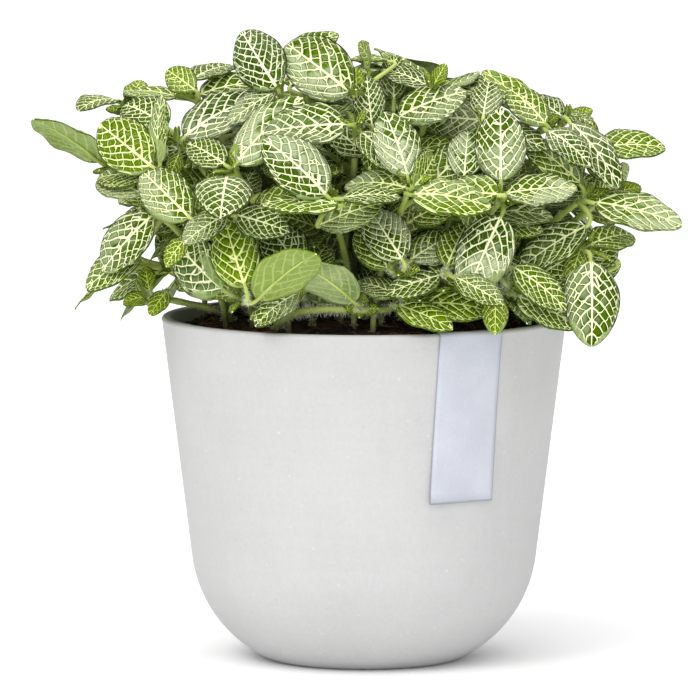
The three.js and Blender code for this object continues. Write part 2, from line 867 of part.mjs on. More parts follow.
const potFinish = new THREE.MeshStandardMaterial({ color: 0xd9d9d7, roughness: 0.75, metalness: 0 });
const soilFinish = new THREE.MeshStandardMaterial({ color: 0x2f2218, roughness: 0.95, metalness: 0 });
const tagFinish = new THREE.MeshStandardMaterial({ color: 0xd3d7e2, roughness: 0.6, metalness: 0 });

const plantPot = new THREE.Group();
const potSolid = pot();
const tagSolid = tag();
const bush = growBush(potSolid, tagSolid);
plantPot.add(meshOf("pot", potSolid, potFinish));
plantPot.add(meshOf("soil", soil(bush.map((stem) => stem.root)), soilFinish));
plantPot.add(meshOf("paper_tag", tagSolid, tagFinish));
// Neighbouring stems differ a little in their green.
bush.forEach((stem, i) => {
  const green = new THREE.Color().setHSL(0.27 + 0.02 * (i % 3), 0.45, 0.34 + 0.03 * (i % 4));
  const finish = new THREE.MeshStandardMaterial({ color: green, roughness: 0.6, metalness: 0 });
  plantPot.add(meshOf(`leafy_stem_${String(i + 1).padStart(2, "0")}`, stem.whole, finish));
});

export default plantPot;
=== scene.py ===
# %% [markdown]
# # A potted nerve plant
# A nerve plant is a low houseplant with soft creeping stems. Each stem carries its oval leaves in
# pairs, and each leaf is drawn over with a net of pale veins. This one fills a plain round pot of
# light grey recycled plastic, with a paper tag folded over the rim.
#
# The solids of the part are already packed. This lesson loads them as a fixed frame and gives
# each one its finish. The pot, the soil and the tag are spun and folded anew with more faces.
# Every leafy stem is grown again on the same lines, with thin blades, stalks, hairs and young tips.

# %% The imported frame
import math

import bmesh
import bpy
from mathutils import Matrix, Vector, noise
from mathutils.bvhtree import BVHTree
from mathutils.kdtree import KDTree


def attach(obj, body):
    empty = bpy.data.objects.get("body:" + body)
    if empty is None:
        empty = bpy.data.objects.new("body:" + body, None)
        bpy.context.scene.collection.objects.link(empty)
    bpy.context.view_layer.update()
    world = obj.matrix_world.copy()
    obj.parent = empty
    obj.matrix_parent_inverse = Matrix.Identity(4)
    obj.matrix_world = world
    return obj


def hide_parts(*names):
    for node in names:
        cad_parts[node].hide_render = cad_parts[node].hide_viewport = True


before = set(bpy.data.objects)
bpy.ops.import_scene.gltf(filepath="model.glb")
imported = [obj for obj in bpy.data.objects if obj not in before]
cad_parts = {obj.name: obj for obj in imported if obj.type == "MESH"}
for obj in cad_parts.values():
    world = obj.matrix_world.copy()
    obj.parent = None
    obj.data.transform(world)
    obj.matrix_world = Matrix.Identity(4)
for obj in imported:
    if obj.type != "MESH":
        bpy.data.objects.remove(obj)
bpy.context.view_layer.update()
MM = 0.001

# %% [markdown]
# ## Camera and light
# The picture was taken from about three metres with a long lens, so it is almost without
# perspective, and it looks down by six degrees. The lens is worked out from the width that the
# frame covers at the pot. Light comes from a soft box high on the left in front, one above and
# behind, and a low one in front. A wide light from the sky and a pale room all round fill in, so
# the shadows between the leaves stay soft.

# %% The camera
PICTURE_SIDE = 696  # pixels
POT_COLUMN = 364  # the pixel column of the pot's axis
RIM_ROW = 315  # the pixel row of the middle of the rim
PIXELS_PER_MM = 2.53
LOOK_DOWN = math.radians(6)
CAMERA_DISTANCE = 3.0
SENSOR = 36.0
CLIP_END = 100.0
POT_HEIGHT = 136.0
TOWARD = Vector((0, -math.cos(LOOK_DOWN), math.sin(LOOK_DOWN)))  # from the pot to the camera

scene = bpy.context.scene
aim_right = (PICTURE_SIDE / 2 - POT_COLUMN) / PIXELS_PER_MM
aim_up = POT_HEIGHT + (RIM_ROW - PICTURE_SIDE / 2) / PIXELS_PER_MM / math.cos(LOOK_DOWN)
aim = Vector((aim_right, 0, aim_up)) * MM
lens = bpy.data.cameras.new("camera")
lens.sensor_width = SENSOR
lens.lens = SENSOR * CAMERA_DISTANCE / (PICTURE_SIDE / PIXELS_PER_MM * MM)
lens.clip_end = CLIP_END
camera = bpy.data.objects.new("camera", lens)
scene.collection.objects.link(camera)
camera.location = aim + TOWARD * CAMERA_DISTANCE
camera.rotation_euler = (math.pi / 2 - LOOK_DOWN, 0, 0)
scene.camera = camera
scene.view_settings.view_transform = "Standard"
print(f"lens {lens.lens:.0f} mm, aimed at {aim.x / MM:.1f}, {aim.z / MM:.1f} mm")

# %% Soft boxes and the pale room
SUN_STRENGTH, SUN_SPREAD = 1.5, math.radians(60)
SUN_FROM = (-0.3, -0.7, 1.1)
ROOM_STRENGTH = 0.8
WHITE = (1.0, 1.0, 1.0)
WARM_WHITE = (1.0, 0.99, 0.97)


def soft_box(name, place, size, power, colour=WHITE):
    """A round soft light that faces the plant, in metres and watts."""
    light = bpy.data.lights.new(name, "AREA")
    light.shape = "DISK"
    light.size = size
    light.energy = power
    light.color = colour
    box = bpy.data.objects.new(name, light)
    box.location = place
    box.rotation_euler = (aim - Vector(place)).to_track_quat("-Z", "Y").to_euler()
    scene.collection.objects.link(box)


soft_box("key_light", (-0.9, -1.4, 1.5), 0.7, 7, WARM_WHITE)
soft_box("top_light", (0.1, 0.5, 1.8), 0.8, 5)
soft_box("low_light", (0.1, -1.6, 0.12), 0.9, 5.5)
sky = bpy.data.lights.new("wide_light", "SUN")
sky.energy, sky.angle = SUN_STRENGTH, SUN_SPREAD
wide = bpy.data.objects.new("wide_light", sky)
wide.rotation_euler = Vector(SUN_FROM).to_track_quat("Z", "Y").to_euler()
scene.collection.objects.link(wide)
room = bpy.data.worlds.new("room")
room.use_nodes = True
glow = room.node_tree.nodes["Background"].inputs
glow["Color"].default_value = (*WHITE, 1.0)
glow["Strength"].default_value = ROOM_STRENGTH
scene.world = room
print("3 soft boxes and a wide light in a pale room")

# %% [markdown]
# ## Tools for materials
# Every finish is a small graph of nodes on a Principled shader. The helpers below add a node and
# wire it in one line: a value that is a socket is linked, and any other value is typed in. An
# effect that several finishes share becomes a node group.

# %% Helpers that add and wire nodes
Socket = bpy.types.NodeSocket


def feed(tree, socket, value):
    if isinstance(value, Socket):
        tree.links.new(value, socket)
    else:
        socket.default_value = value


def add(tree, kind, wires=(), **settings):
    node = tree.nodes.new("ShaderNode" + kind)
    for name, value in settings.items():
        setattr(node, name, value)
    for name, value in dict(wires).items():
        feed(tree, node.inputs[name], value)
    return node


def calc(tree, operation, *values, clamp=False):
    node = add(tree, "Math", operation=operation, use_clamp=clamp)
    for socket, value in zip(node.inputs, values):
        feed(tree, socket, value)
    return node.outputs[0]


def step(tree, value, low, high, start=0.0, end=1.0):
    """value's way from low to high as a soft step from start to end."""
    node = add(tree, "MapRange", interpolation_type="SMOOTHSTEP")
    for socket, each in zip(node.inputs, (value, low, high, start, end)):
        feed(tree, socket, each)
    return node.outputs[0]


def blend(tree, share, first, second):
    """Two colours mixed: first where share is 0, second where it is 1."""
    node = add(tree, "Mix", data_type="RGBA")
    feed(tree, node.inputs["Factor"], share)
    feed(tree, node.inputs[6], first)
    feed(tree, node.inputs[7], second)
    return node.outputs[2]


def grain(tree, place, scale, detail=2.0, rough=0.55):
    wires = {"Vector": place, "Scale": scale, "Detail": detail, "Roughness": rough}
    return add(tree, "TexNoise", wires).outputs["Fac"]


def paint(red, green, blue):
    """A colour typed as it looks on a screen, from 0 to 255, as the shader wants it."""
    def linear(value):
        share = value / 255
        return share / 12.92 if share <= 0.04045 else ((share + 0.055) / 1.055) ** 2.4
    return (linear(red), linear(green), linear(blue), 1.0)


def finish_of(name):
    """A new material with its tree and its Principled shader."""
    material = bpy.data.materials.new(name)
    material.use_nodes = True
    tree = material.node_tree
    return material, tree, tree.nodes["Principled BSDF"]


def dress(tree, shader, colour, roughness, gloss=None):
    """The shader's colour and roughness and, where it isn't the usual one, its specular level."""
    feed(tree, shader.inputs["Base Color"], colour)
    feed(tree, shader.inputs["Roughness"], roughness)
    if gloss is not None:
        shader.inputs["Specular IOR Level"].default_value = gloss


def relief(tree, shader, height, depth, strength=1.0):
    """Bump of a real depth in metres."""
    wires = {"Height": height, "Distance": depth, "Strength": strength}
    tree.links.new(add(tree, "Bump", wires).outputs[0], shader.inputs["Normal"])


def new_group(name, inputs, outputs):
    tree = bpy.data.node_groups.new(name, "ShaderNodeTree")
    for title, kind in inputs.items():
        tree.interface.new_socket(title, in_out="INPUT", socket_type="NodeSocket" + kind)
    for title, kind in outputs.items():
        tree.interface.new_socket(title, in_out="OUTPUT", socket_type="NodeSocket" + kind)
    return tree, tree.nodes.new("NodeGroupInput"), tree.nodes.new("NodeGroupOutput")


print("node helpers ready")

# %% [markdown]
# ## The net of veins
# On the real leaf a strong midrib sends five to seven side veins to each edge. They leave it at a
# sharp angle, bend forward and run into one another, so that a scalloped line follows the margin.
# Short rungs, straight or kinked, join each side vein to the next.
#
# A painted picture would give this only once, so the net is worked out from the leaf's own map,
# where x runs along the midrib and y across. One slanting number counts the strips between side
# veins. In each strip the borders of a column of flat cells are the rungs, and a hash of the
# strip's number shifts the column. A seed for each leaf makes each net different.

# %% The vein group
OUTLINE_SKEW = 0.85  # below 1 the blade is widest before its middle
OUTLINE_FULLNESS = 0.56  # the smaller, the rounder its ends
HALF_SHARE = 0.355  # half width over length
STRIPS, STRIPS_SPREAD = 6.0, 1.4  # strips on each side of the midrib
RUNGS = 10.0  # cells along a strip, for the leaf's whole length
YOUNG_COARSER = -0.25  # a young leaf has fewer strips and rungs
SIDE_VEIN = 0.146  # width of a side vein at the midrib, as a share of its strip


def vein_net():
    inputs = {"Leaf": "Vector", "Seed": "Float", "Youth": "Float"}
    outputs = {name: "Float" for name in ("Veins", "Bulge", "Height", "Cell", "Painted sheen")}
    tree, enter, leave = new_group("vein_net", inputs, outputs)

    def m(operation, *values, **more):
        return calc(tree, operation, *values, **more)

    axes = add(tree, "SeparateXYZ", {0: enter.outputs["Leaf"]})
    x = axes.outputs[0]
    signed = m("MULTIPLY_ADD", axes.outputs[1], 2.0, -1.0)
    other_side = m("GREATER_THAN", signed, 0.0)
    seed = m("MULTIPLY_ADD", other_side, 0.37, enter.outputs["Seed"])
    arch = m("SINE", m("MULTIPLY", m("POWER", x, OUTLINE_SKEW), math.pi))
    half = m("MULTIPLY", m("POWER", m("MAXIMUM", arch, 0.001), OUTLINE_FULLNESS), HALF_SHARE)
    y = m("MULTIPLY", m("ABSOLUTE", signed), half)
    edge = m("SUBTRACT", half, y)

    # A slow wander keeps the lines from being drawn with a ruler.
    place = add(tree, "CombineXYZ", {0: x, 1: y, 2: m("MULTIPLY", seed, 5.3)})
    wander = m("SUBTRACT", grain(tree, place.outputs[0], 7.0, 1.0, 0.5), 0.5)

    # Strips between side veins: these leave the midrib at about 55 degrees and bend forward.
    slant = m("MULTIPLY_ADD", m("MULTIPLY", y, y), 1.8, m("MULTIPLY", y, 0.7))
    hook = m("MULTIPLY", m("EXPONENT", m("MULTIPLY", edge, -30.0)), 0.15)
    start = m("SUBTRACT", x, m("ADD", slant, hook))
    fine = m("MULTIPLY_ADD", enter.outputs["Youth"], YOUNG_COARSER, 1.0)
    spread = m("FRACT", m("MULTIPLY", enter.outputs["Seed"], 7.7))
    strips = m("MULTIPLY", m("MULTIPLY_ADD", spread, STRIPS_SPREAD, STRIPS), fine)
    count = m("MULTIPLY_ADD", start, strips, m("MULTIPLY", wander, 0.45))
    count = m("ADD", count, m("FRACT", m("MULTIPLY", seed, 5.3)))
    strip = m("FLOOR", count)
    inside = m("SUBTRACT", count, strip)
    off_line = m("SUBTRACT", 0.5, m("ABSOLUTE", m("SUBTRACT", inside, 0.5)))
    thick = m("MULTIPLY", m("MULTIPLY_ADD", y, -0.08, SIDE_VEIN), m("MULTIPLY_ADD", x, -0.35, 1.1))
    side_veins = step(tree, off_line, m("MULTIPLY", thick, 0.45), m("MULTIPLY", thick, 1.05), 1, 0)

    # Rungs: flat cells in one column per strip, each column shifted by its own luck.
    pick = add(tree, "CombineXYZ", {0: strip, 1: seed})
    chance = add(tree, "TexWhiteNoise", {"Vector": pick.outputs[0]}, noise_dimensions="2D")
    luck = chance.outputs["Value"]
    column = m("MULTIPLY_ADD", strip, 3.0, m("MULTIPLY_ADD", inside, 0.44, 0.28))
    along = m("MULTIPLY_ADD", x, 0.70, m("MULTIPLY", y, 0.70))
    ladder = m("MULTIPLY_ADD", along, m("MULTIPLY", fine, RUNGS), m("MULTIPLY", wander, 1.2))
    ladder = m("MULTIPLY_ADD", luck, 57.0, ladder)
    cells = add(tree, "CombineXYZ", {0: column, 1: ladder})
    rungs = add(tree, "TexVoronoi", {"Vector": cells.outputs[0], "Scale": 1.0, "Randomness": 0.8},
                voronoi_dimensions="2D", feature="DISTANCE_TO_EDGE").outputs["Distance"]
    broken = step(tree, m("MULTIPLY_ADD", off_line, 0.2, wander), -0.16, -0.10, 1.8, 1.0)
    rung_veins = step(tree, m("MULTIPLY", rungs, broken), 0.02, 0.078, 0.9, 0.0)

    # The midrib and the line along the margin, with a plain green brim outside it.
    rib_width = m("MULTIPLY_ADD", x, -0.014, 0.021)
    rib = step(tree, m("DIVIDE", y, rib_width), 0.7, 1.3, 1.0, 0.0)
    scallop = m("MULTIPLY", m("POWER", m("ABSOLUTE", m("SUBTRACT", inside, 0.5)), 2.0), 0.12)
    brim = m("SUBTRACT", edge, m("ADD", scallop, 0.018))
    margin_vein = step(tree, m("ABSOLUTE", brim), 0.004, 0.010, 0.9, 0.0)
    outside = step(tree, brim, -0.004, 0.004, 1.0, 0.0)

    net = m("MAXIMUM", side_veins, rung_veins)
    net = m("MULTIPLY", net, m("MULTIPLY_ADD", outside, -0.85, 1.0))
    veins = m("MAXIMUM", m("MAXIMUM", net, margin_vein), rib, clamp=True)
    dome = m("MINIMUM", m("MULTIPLY", off_line, 1.6), m("MULTIPLY", rungs, 1.3))
    bulge = m("MULTIPLY", step(tree, dome, 0.0, 0.42), m("SUBTRACT", 1.0, rib))
    pillow = m("MULTIPLY", step(tree, off_line, -0.1, 0.5), m("SUBTRACT", 1.0, rib))
    feed(tree, leave.inputs["Veins"], veins)
    feed(tree, leave.inputs["Bulge"], bulge)
    feed(tree, leave.inputs["Height"], m("MULTIPLY_ADD", pillow, 0.6, m("MULTIPLY", bulge, 0.4)))
    feed(tree, leave.inputs["Cell"], luck)

    # Which part of the leaf gets the painted sheen, a highlight painted into its colour: a soft
    # front at an angle of its own.
    swing = m("MULTIPLY", enter.outputs["Seed"], 9.0)
    slope = m("MULTIPLY_ADD", m("MULTIPLY", signed, 0.45), m("SINE", swing),
              m("MULTIPLY", m("SUBTRACT", x, 0.5), m("COSINE", swing)))
    feed(tree, leave.inputs["Painted sheen"], step(tree, m("MULTIPLY_ADD", wander, 1.2, slope), -0.2, 0.22))
    return tree


VEIN_NET = vein_net()
print("vein net of", len(VEIN_NET.nodes), "nodes")

# %% [markdown]
# ## Leaf, stem and hair finishes
# The upper side is satin green between cream veins. Young leaves are yellower. On many older ones
# the raised cells carry a grey sheen painted into the colour, a painted highlight, more on some
# leaves than on others, and next to the veins the cells are painted darker as painted shade. The
# underside is pale and dull, with the same net faintly raised. Three numbers are stored on each
# leaf's points: its seed, its youth and its painted sheen. One material then serves all leaves.

# %% Upper and under side of the leaf
UPPER_RELIEF = 1.1 * MM
UNDER_RELIEF = 0.16 * MM
GREEN_GLOSS = (0.7, 1.0, 0.15, 1.0)  # light that glances off a leaf stays green


def leaf_number(tree, name):
    return add(tree, "Attribute", attribute_name=name).outputs["Fac"]


def net_on(tree):
    leaf_map = add(tree, "UVMap", uv_map="leaf").outputs["UV"]
    wires = {"Leaf": leaf_map}
    wires.update({name.title(): leaf_number(tree, name) for name in ("seed", "youth")})
    return add(tree, "Group", wires, node_tree=VEIN_NET).outputs


def object_place(tree):
    return add(tree, "TexCoord").outputs["Object"]


def upper_side():
    material, tree, shader = finish_of("leaf_upper_side")
    net = net_on(tree)
    youth = leaf_number(tree, "youth")
    place = object_place(tree)
    patches = calc(tree, "MULTIPLY", grain(tree, place, 45), 0.75)
    patches = calc(tree, "MULTIPLY_ADD", grain(tree, place, 1100), 0.35, patches)
    tone = step(tree, calc(tree, "MULTIPLY_ADD", net["Cell"], 0.25, patches), 0.35, 0.9)
    # Painted shade: next to the veins the cells take a darker green than on their domes, as if the
    # grooves were shaded.
    groove_shade_old = blend(tree, tone, paint(13, 32, 0), paint(27, 54, 0))
    groove_shade = blend(tree, youth, groove_shade_old, paint(54, 90, 0))
    raised_old = blend(tree, tone, paint(30, 60, 0), paint(65, 98, 0))
    raised = blend(tree, youth, raised_old, paint(121, 156, 0))
    dome = step(tree, net["Bulge"], 0.0, 0.85)
    # Painted sheen: a grey highlight painted over the domes of the cells, as strong as each leaf's
    # painted sheen and the painted sheen mask say.
    satin = calc(tree, "MULTIPLY", leaf_number(tree, "satin"), net["Painted sheen"])
    satin = calc(tree, "MULTIPLY", satin, step(tree, dome, 0.0, 0.7, 0.15, 1.0))
    cells = blend(tree, satin, blend(tree, dome, groove_shade, raised), paint(180, 193, 154))
    veins = blend(tree, youth, paint(250, 255, 206), paint(240, 255, 124))
    roughness = step(tree, net["Veins"], 0.0, 1.0, 0.4, 0.55)
    dress(tree, shader, blend(tree, net["Veins"], cells, veins), roughness, gloss=0.06)
    shader.inputs["Specular Tint"].default_value = GREEN_GLOSS
    relief(tree, shader, net["Height"], UPPER_RELIEF, 0.95)
    return material


def under_side():
    material, tree, shader = finish_of("leaf_under_side")
    net = net_on(tree)
    place = object_place(tree)
    dull = blend(tree, step(tree, grain(tree, place, 60, 3), 0.35, 0.65),
                 paint(104, 128, 66), paint(142, 160, 106))
    fresh = blend(tree, leaf_number(tree, "youth"), dull, paint(128, 152, 60))
    veins = calc(tree, "MULTIPLY", net["Veins"], 0.42)
    roughness = step(tree, grain(tree, place, 700), 0.3, 0.7, 0.55, 0.75)
    dress(tree, shader, blend(tree, veins, fresh, paint(196, 208, 128)), roughness, gloss=0.25)
    relief(tree, shader, net["Veins"], UNDER_RELIEF, 0.6)
    return material


UPPER_SIDE = upper_side()
UNDER_SIDE = under_side()
print("leaf finishes:", UPPER_SIDE.name, UNDER_SIDE.name)

# %% Stem skin and hairs
# Up to the first height above the ground the skin is old and brown, painted darker still as painted
# shade near the soil, and from the second one on it is fresh.
OLD_AND_SHADED_STEM, FRESH_STEM = 140 * MM, 153 * MM
OLD_AND_SHADED_CREEPER, FRESH_CREEPER = 128 * MM, 137 * MM
INNER_REACH, OUTER_REACH = 50 * MM, 75 * MM  # from the pot's axis
INNER_TOP, LIGHT_TOP = 190 * MM, 212 * MM
SKIN_RELIEF = 0.15 * MM


def stem_skin(name, old, fresh):
    """Pale green skin that is brown low down, where it is old and painted darker as painted shade,
    and painted dark deep inside the bush as painted shade.
    """
    material, tree, shader = finish_of(name)
    place = object_place(tree)
    pale = blend(tree, step(tree, grain(tree, place, 60), 0.35, 0.65),
                 paint(138, 160, 60), paint(192, 206, 108))
    right, back, height = add(tree, "SeparateXYZ", {0: place}).outputs
    ragged = calc(tree, "MULTIPLY_ADD", grain(tree, place, 80), 0.01, height)
    low = step(tree, ragged, old, fresh, 0.95, 0.0)
    # Painted shade: near the pot's axis and below the light top, deep inside the bush, the skin is
    # painted dark.
    reach = calc(tree, "MULTIPLY_ADD", right, right, calc(tree, "MULTIPLY", back, back))
    reach = calc(tree, "SQRT", reach)
    inner = calc(tree, "MULTIPLY", step(tree, reach, INNER_REACH, OUTER_REACH, 0.7, 0.0),
                 step(tree, height, INNER_TOP, LIGHT_TOP, 1.0, 0.0))
    colour = blend(tree, calc(tree, "MAXIMUM", low, inner), pale, paint(62, 60, 28))
    dress(tree, shader, colour, step(tree, grain(tree, place, 400), 0.3, 0.7, 0.45, 0.65))
    relief(tree, shader, grain(tree, place, 1500, 3), SKIN_RELIEF, 0.5)
    return material


def hair_finish():
    material, tree, shader = finish_of("stem_hair")
    mottle = grain(tree, object_place(tree), 300)
    dress(tree, shader, blend(tree, mottle, paint(214, 218, 200), paint(246, 248, 238)), 0.6)
    return material


STEM_SKIN = stem_skin("stem_skin", OLD_AND_SHADED_STEM, FRESH_STEM)
CREEPER_SKIN = stem_skin("creeper_skin", OLD_AND_SHADED_CREEPER, FRESH_CREEPER)
STEM_HAIR = hair_finish()
print("stem finishes:", STEM_SKIN.name, CREEPER_SKIN.name, STEM_HAIR.name)

# %% [markdown]
# ## How the bush is measured
# The solids of the part were placed as they are seen from the front: how far right of the pot's
# axis, how far above the rim, where the tip points. The same rows stand here, in millimetres and
# degrees. A stem's row says: right, above and how near its crown stands, or None where the crown
# lies on the dome of the bush.
#
# Each row of a leaf says: right, above, the way its tip points, length, how far its face turns to
# the right and to the sky, and how much nearer than the crown it stands.

# %% Rows of the front stems
FRONT_STEMS = [
    (38, 48, 60, [
        (38.5, 53, 85, 24, 0, 40, 0),
        (36, 48.5, 205, 20, -20, 45, 0),
        (39, 46, -70, 20, 10, 30, 0),
    ]),
    (10.5, 73, 48, [
        (13.5, 76.5, 21, 29, 0, 35, 4),
        (11.5, 84, 90, 19, 0, 25, -10),
        (8, 72.5, 250, 22, 0, 35, 0),
        (3, 73, 96, 20, -10, 15, 5),
    ]),
    (53, 44, None, [
        (52.5, 52, 90, 30, 0, 22, 0),
        (54.5, 46.5, 5, 28, 5, 45, 0),
        (51, 46, 180, 26, -30, 45, 0),
        (52.5, 37.5, 246, 34, -3, 8, 4),
    ]),
    (17.5, 49.5, None, [
        (18.5, 46, -10, 31, 5, 47, 3),
        (16.5, 53.5, 110, 28, 8, 24, 1),
        (16, 48.5, 177, 27, -25, 55, 2),
        (19, 49, 59, 22, 58, 10, 2),
        (18, 52, 80, 12, 20, 40, 3),
    ]),
    (86, 45.5, None, [
        (89.5, 43.5, -15, 35, 10, 45, 3),
        (85.5, 34, 213, 30, -25, 40, 4),
        (83.5, 51, 142, 28, 35, 35, 1),
        (84.5, 52, 120, 26, -50, 10, -4),
    ]),
    (85.5, 25.5, None, [
        (87.5, 20.5, 270, 34, 5, 12, 8),
        (83.5, 24.5, 255, 15, -20, 30, 0),
        (88.5, 27.5, 12, 22, 30, 50, -2),
    ]),
    (89.5, 61, None, [
        (91, 65, 0, 27, 10, 55, 0),
        (87, 62, 195, 22, -10, 50, 0),
        (88, 66, 110, 16, 10, 40, -4),
    ]),
    (97, 47.5, 34, [
        (100, 51, 59, 24, 78, 5, 0),
        (96, 52, 120, 20, 20, 40, -2),
    ]),
    (78.5, 75.5, None, [
        (80.5, 74, -54, 31, 40, 30, 2),
        (76, 78.5, -19, 18, 0, 70, -6),
        (76.5, 77.5, 150, 20, 0, 60, 0),
    ]),
    (69, 72.5, None, [
        (69, 75, 139, 31, 35, 42, -3),
        (70, 74, 136, 22, 0, 30, 4),
        (71, 71, -40, 22, 20, 35, 0),
        (66, 70, 215, 20, -10, 40, 0),
    ]),
    (26, 87, None, [
        (27, 89.5, 17, 25, 0, 74, 0),
        (29, 89, -12, 30, 10, 66, -8),
        (24, 89, 160, 20, 0, 50, -3),
    ]),
    (46, 73, None, [
        (45, 75.5, 164, 27, -28, 15, 2),
        (48, 72, -20, 24, 15, 50, 0),
        (46, 77, 80, 20, 0, 45, -6),
    ]),
    (-3, 84, None, [
        (-5.5, 86, 142, 35, -20, 18, 4),
        (2, 96, 118, 17, 72, 0, -14),
        (9, 99, 180, 15, 0, 72, -16),
    ]),
    (-33, 86, None, [
        (-34, 88, 122, 29, -18, 20, 2),
        (-30, 97, 34, 27, -20, 56, -10),
        (-35, 86, 215, 22, -20, 40, 0),
    ]),
    (-72, 67, None, [
        (-69.5, 69, 26, 40, -10, 50, 3),
        (-77, 73, 152, 26, -25, 45, 0),
        (-72, 62, 250, 11, 0, 20, 2),
    ]),
    (-66, 84, None, [
        (-64, 86, 11, 28, 0, 52, 3),
        (-66, 87.5, 144, 18, -30, 30, 3),
        (-67, 92, 21, 25, 0, 72, -10),
        (-73, 85, 173, 24, -10, 70, 0),
    ]),
    (-92, 79, 18, [
        (-97, 84, 198, 22, 0, 74, 0),
        (-91, 83, 70, 15, 0, 50, 0),
    ]),
    (-50, 55, None, [
        (-49, 58.5, 44.5, 36, -24, 26, 2),
        (-53, 53, 263, 33, 0, 60, 3),
        (-54, 58, 150, 20, -15, 40, 0),
    ]),
    (-3.5, 72, None, [
        (-7, 73, 186, 32, -5, 40, 3),
        (0, 62, 141, 22, 0, 30, -4),
        (-1, 70, -50, 22, 10, 35, 0),
    ]),
    (-13, 43, None, [
        (-15, 46, 138.6, 32, 15, 20, 2),
        (-10, 42, 180, 30, 0, 68, 8),
        (-8, 44.5, 0, 22, 0, 62, 5),
        (-17, 34, 20, 26, 0, 38, 2),
    ]),
    (-52, 40, None, [
        (-49, 38, -18, 24, -20, 30, 2),
        (-54, 38, 215, 20, -10, 40, 0),
        (-50, 43, 60, 20, 0, 45, -4),
    ]),
    (-47, 6, 58, [
        (-46, 11, 107, 30, -18, 25, 4),
        (-55, 10, 134, 32, -40, 5, 2),
        (-41, 6, 37, 37, -20, 125, 8),
    ]),
    (13.5, 17, 70, [
        (14.5, 21, 123, 27, -15, 28, 5),
        (9, 18, 123, 25, -20, 30, 0),
        (18, 21, 30, 24, 10, 40, 0),
        (14, 19, 70, 22, 0, 45, -3),
    ]),
    (-26, 8, 62, [
        (-25, 18, 127, 26, -20, 30, 0),
        (-26, 8, 218, 22, -10, 40, 8),
        (-31, 3, 200, 15, 0, 50, 3),
        (-22, 14, 60, 20, 0, 45, 0),
    ]),
    (-1, 2, 60, [
        (-4, 5, 147, 27, 10, 125, 8),
        (2, 6, 75, 20, 5, 45, -2),
    ]),
    (16, 4, 62, [
        (13, 3.5, -24, 24, 10, 50, 8),
        (23, 4, -7, 26, 5, 42, 4),
        (13, 7, 150, 20, -10, 50, 0),
    ]),
    (55, 10, 62, [
        (50.5, 7, 269, 15, 0, 12, 10),
        (59, 7, -28, 26, 20, 35, 6),
        (57.5, 18, -39, 26, 25, 30, 3),
        (53, 14, 120, 22, -10, 40, 0),
    ]),
    (32, 16, 66, [
        (32, 19, 65, 25, 0, 45, 0),
        (29, 15, 200, 22, -10, 45, 0),
        (35, 14, -30, 22, 10, 45, 3),
    ]),
    (-98, 56, 26, [
        (-103, 60, 148, 36, -30, 118, 0),
        (-96, 60, 100, 18, -20, 40, -6),
    ]),
    (-80, 56, None, [
        (-82.5, 57.5, 141, 31, -25, 20, 4),
        (-83.5, 54.5, 184, 24, -35, 45, 2),
        (-79.5, 59, 87, 26, -60, 0, -2),
        (-86, 47, 164, 24, -25, 48, 3),
    ]),
    (-65, 35.5, None, [
        (-67.5, 37.5, 136, 31, -22, 25, 4),
        (-69, 29, 235, 13, -20, 20, 2),
    ]),
    (-81, 39, 48, [
        (-82.5, 38, 228, 29, -28, 12, 6),
        (-87, 25, 216, 26, -32, 35, 2),
        (-93, 30, 145, 14, -60, 20, 0),
    ]),
    (-82, 7, 26, [
        (-84, 10, 100, 11, -20, 30, 2),
        (-85, 7, 195, 10, -20, 30, 2),
        (-77, 9, 235, 12, -10, 30, 4),
        (-86, 5, 92, 15, -62, 10, -2),
    ]),
]
print(len(FRONT_STEMS), "stems seen from the front,", sum(len(s[3]) for s in FRONT_STEMS), "leaves")

# %% Rings of stems round the rest
# How many, from and to what angle round the pot, height over the rim, distance out, sky angles.
RINGS = [
    (7, 84, 276, 9, 76, (25, 50)),
    (5, 100, 260, 36, 70, (28, 55)),
    (4, 112, 248, 62, 54, (35, 60)),
    (3, 60, 300, 80, 24, (55, 70)),
    (1, 5, 5, 78, 14, (55, 70)),
]
RING_SEED = 1000
RING_LEAVES = 4
DOME_ACROSS, DOME_UP, DOME_NEAR, DOME_MIDDLE, DOME_ROUNDNESS = 128, 108, 86, 12, 0.75
print(sum(ring[0] for ring in RINGS), "stems in", len(RINGS), "rings")

# %% Dice that fall the same on every run
def dice(seed):
    state = [((seed + 17) * 2654435761) % 2**32]

    def draw(low=0.0, high=1.0):
        state[0] = (state[0] * 1664525 + 1013904223) % 2**32
        return low + (high - low) * state[0] / 2**32

    draw()
    draw()
    return draw


def ring_leaves(draw, above, sky):
    roll = draw(20, 70)
    rows = []
    for i in range(RING_LEAVES):
        pair = i // 2
        pointing = roll + 180 * (i % 2) + 90 * pair + draw(-14, 14)
        right = 5 * math.cos(math.radians(pointing))
        up = above + 2 + 5 * math.sin(math.radians(pointing))
        length = draw(27, 34)
        turn = draw(-22, 22)
        rows.append((right, up, pointing, length, turn, draw(*sky), 3 * pair))
    return rows


def dome_near(right, above):
    left = 1 - (right / DOME_ACROSS) ** 2 - ((above - DOME_MIDDLE) / DOME_UP) ** 2
    return DOME_NEAR * max(left, 0.03) ** DOME_ROUNDNESS


def all_stems():
    stems = [{"turn": 0.0, "crown": (right, above), "leaves": rows,
              "near": near if near is not None else dome_near(right, above)}
             for right, above, near, rows in FRONT_STEMS]
    for r, (count, first, last, up, near, sky) in enumerate(RINGS):
        for i in range(count):
            draw = dice(RING_SEED + 40 * r + i)
            share = i / (count - 1) if count > 1 else 0.5
            turn = math.radians(first + (last - first) * share + draw(-5, 5))
            above = up + draw(-4, 4)
            stem = {"turn": turn, "crown": (0, above), "near": near + draw(-4, 2)}
            stem["leaves"] = ring_leaves(draw, above, sky)
            stems.append(stem)
    return stems


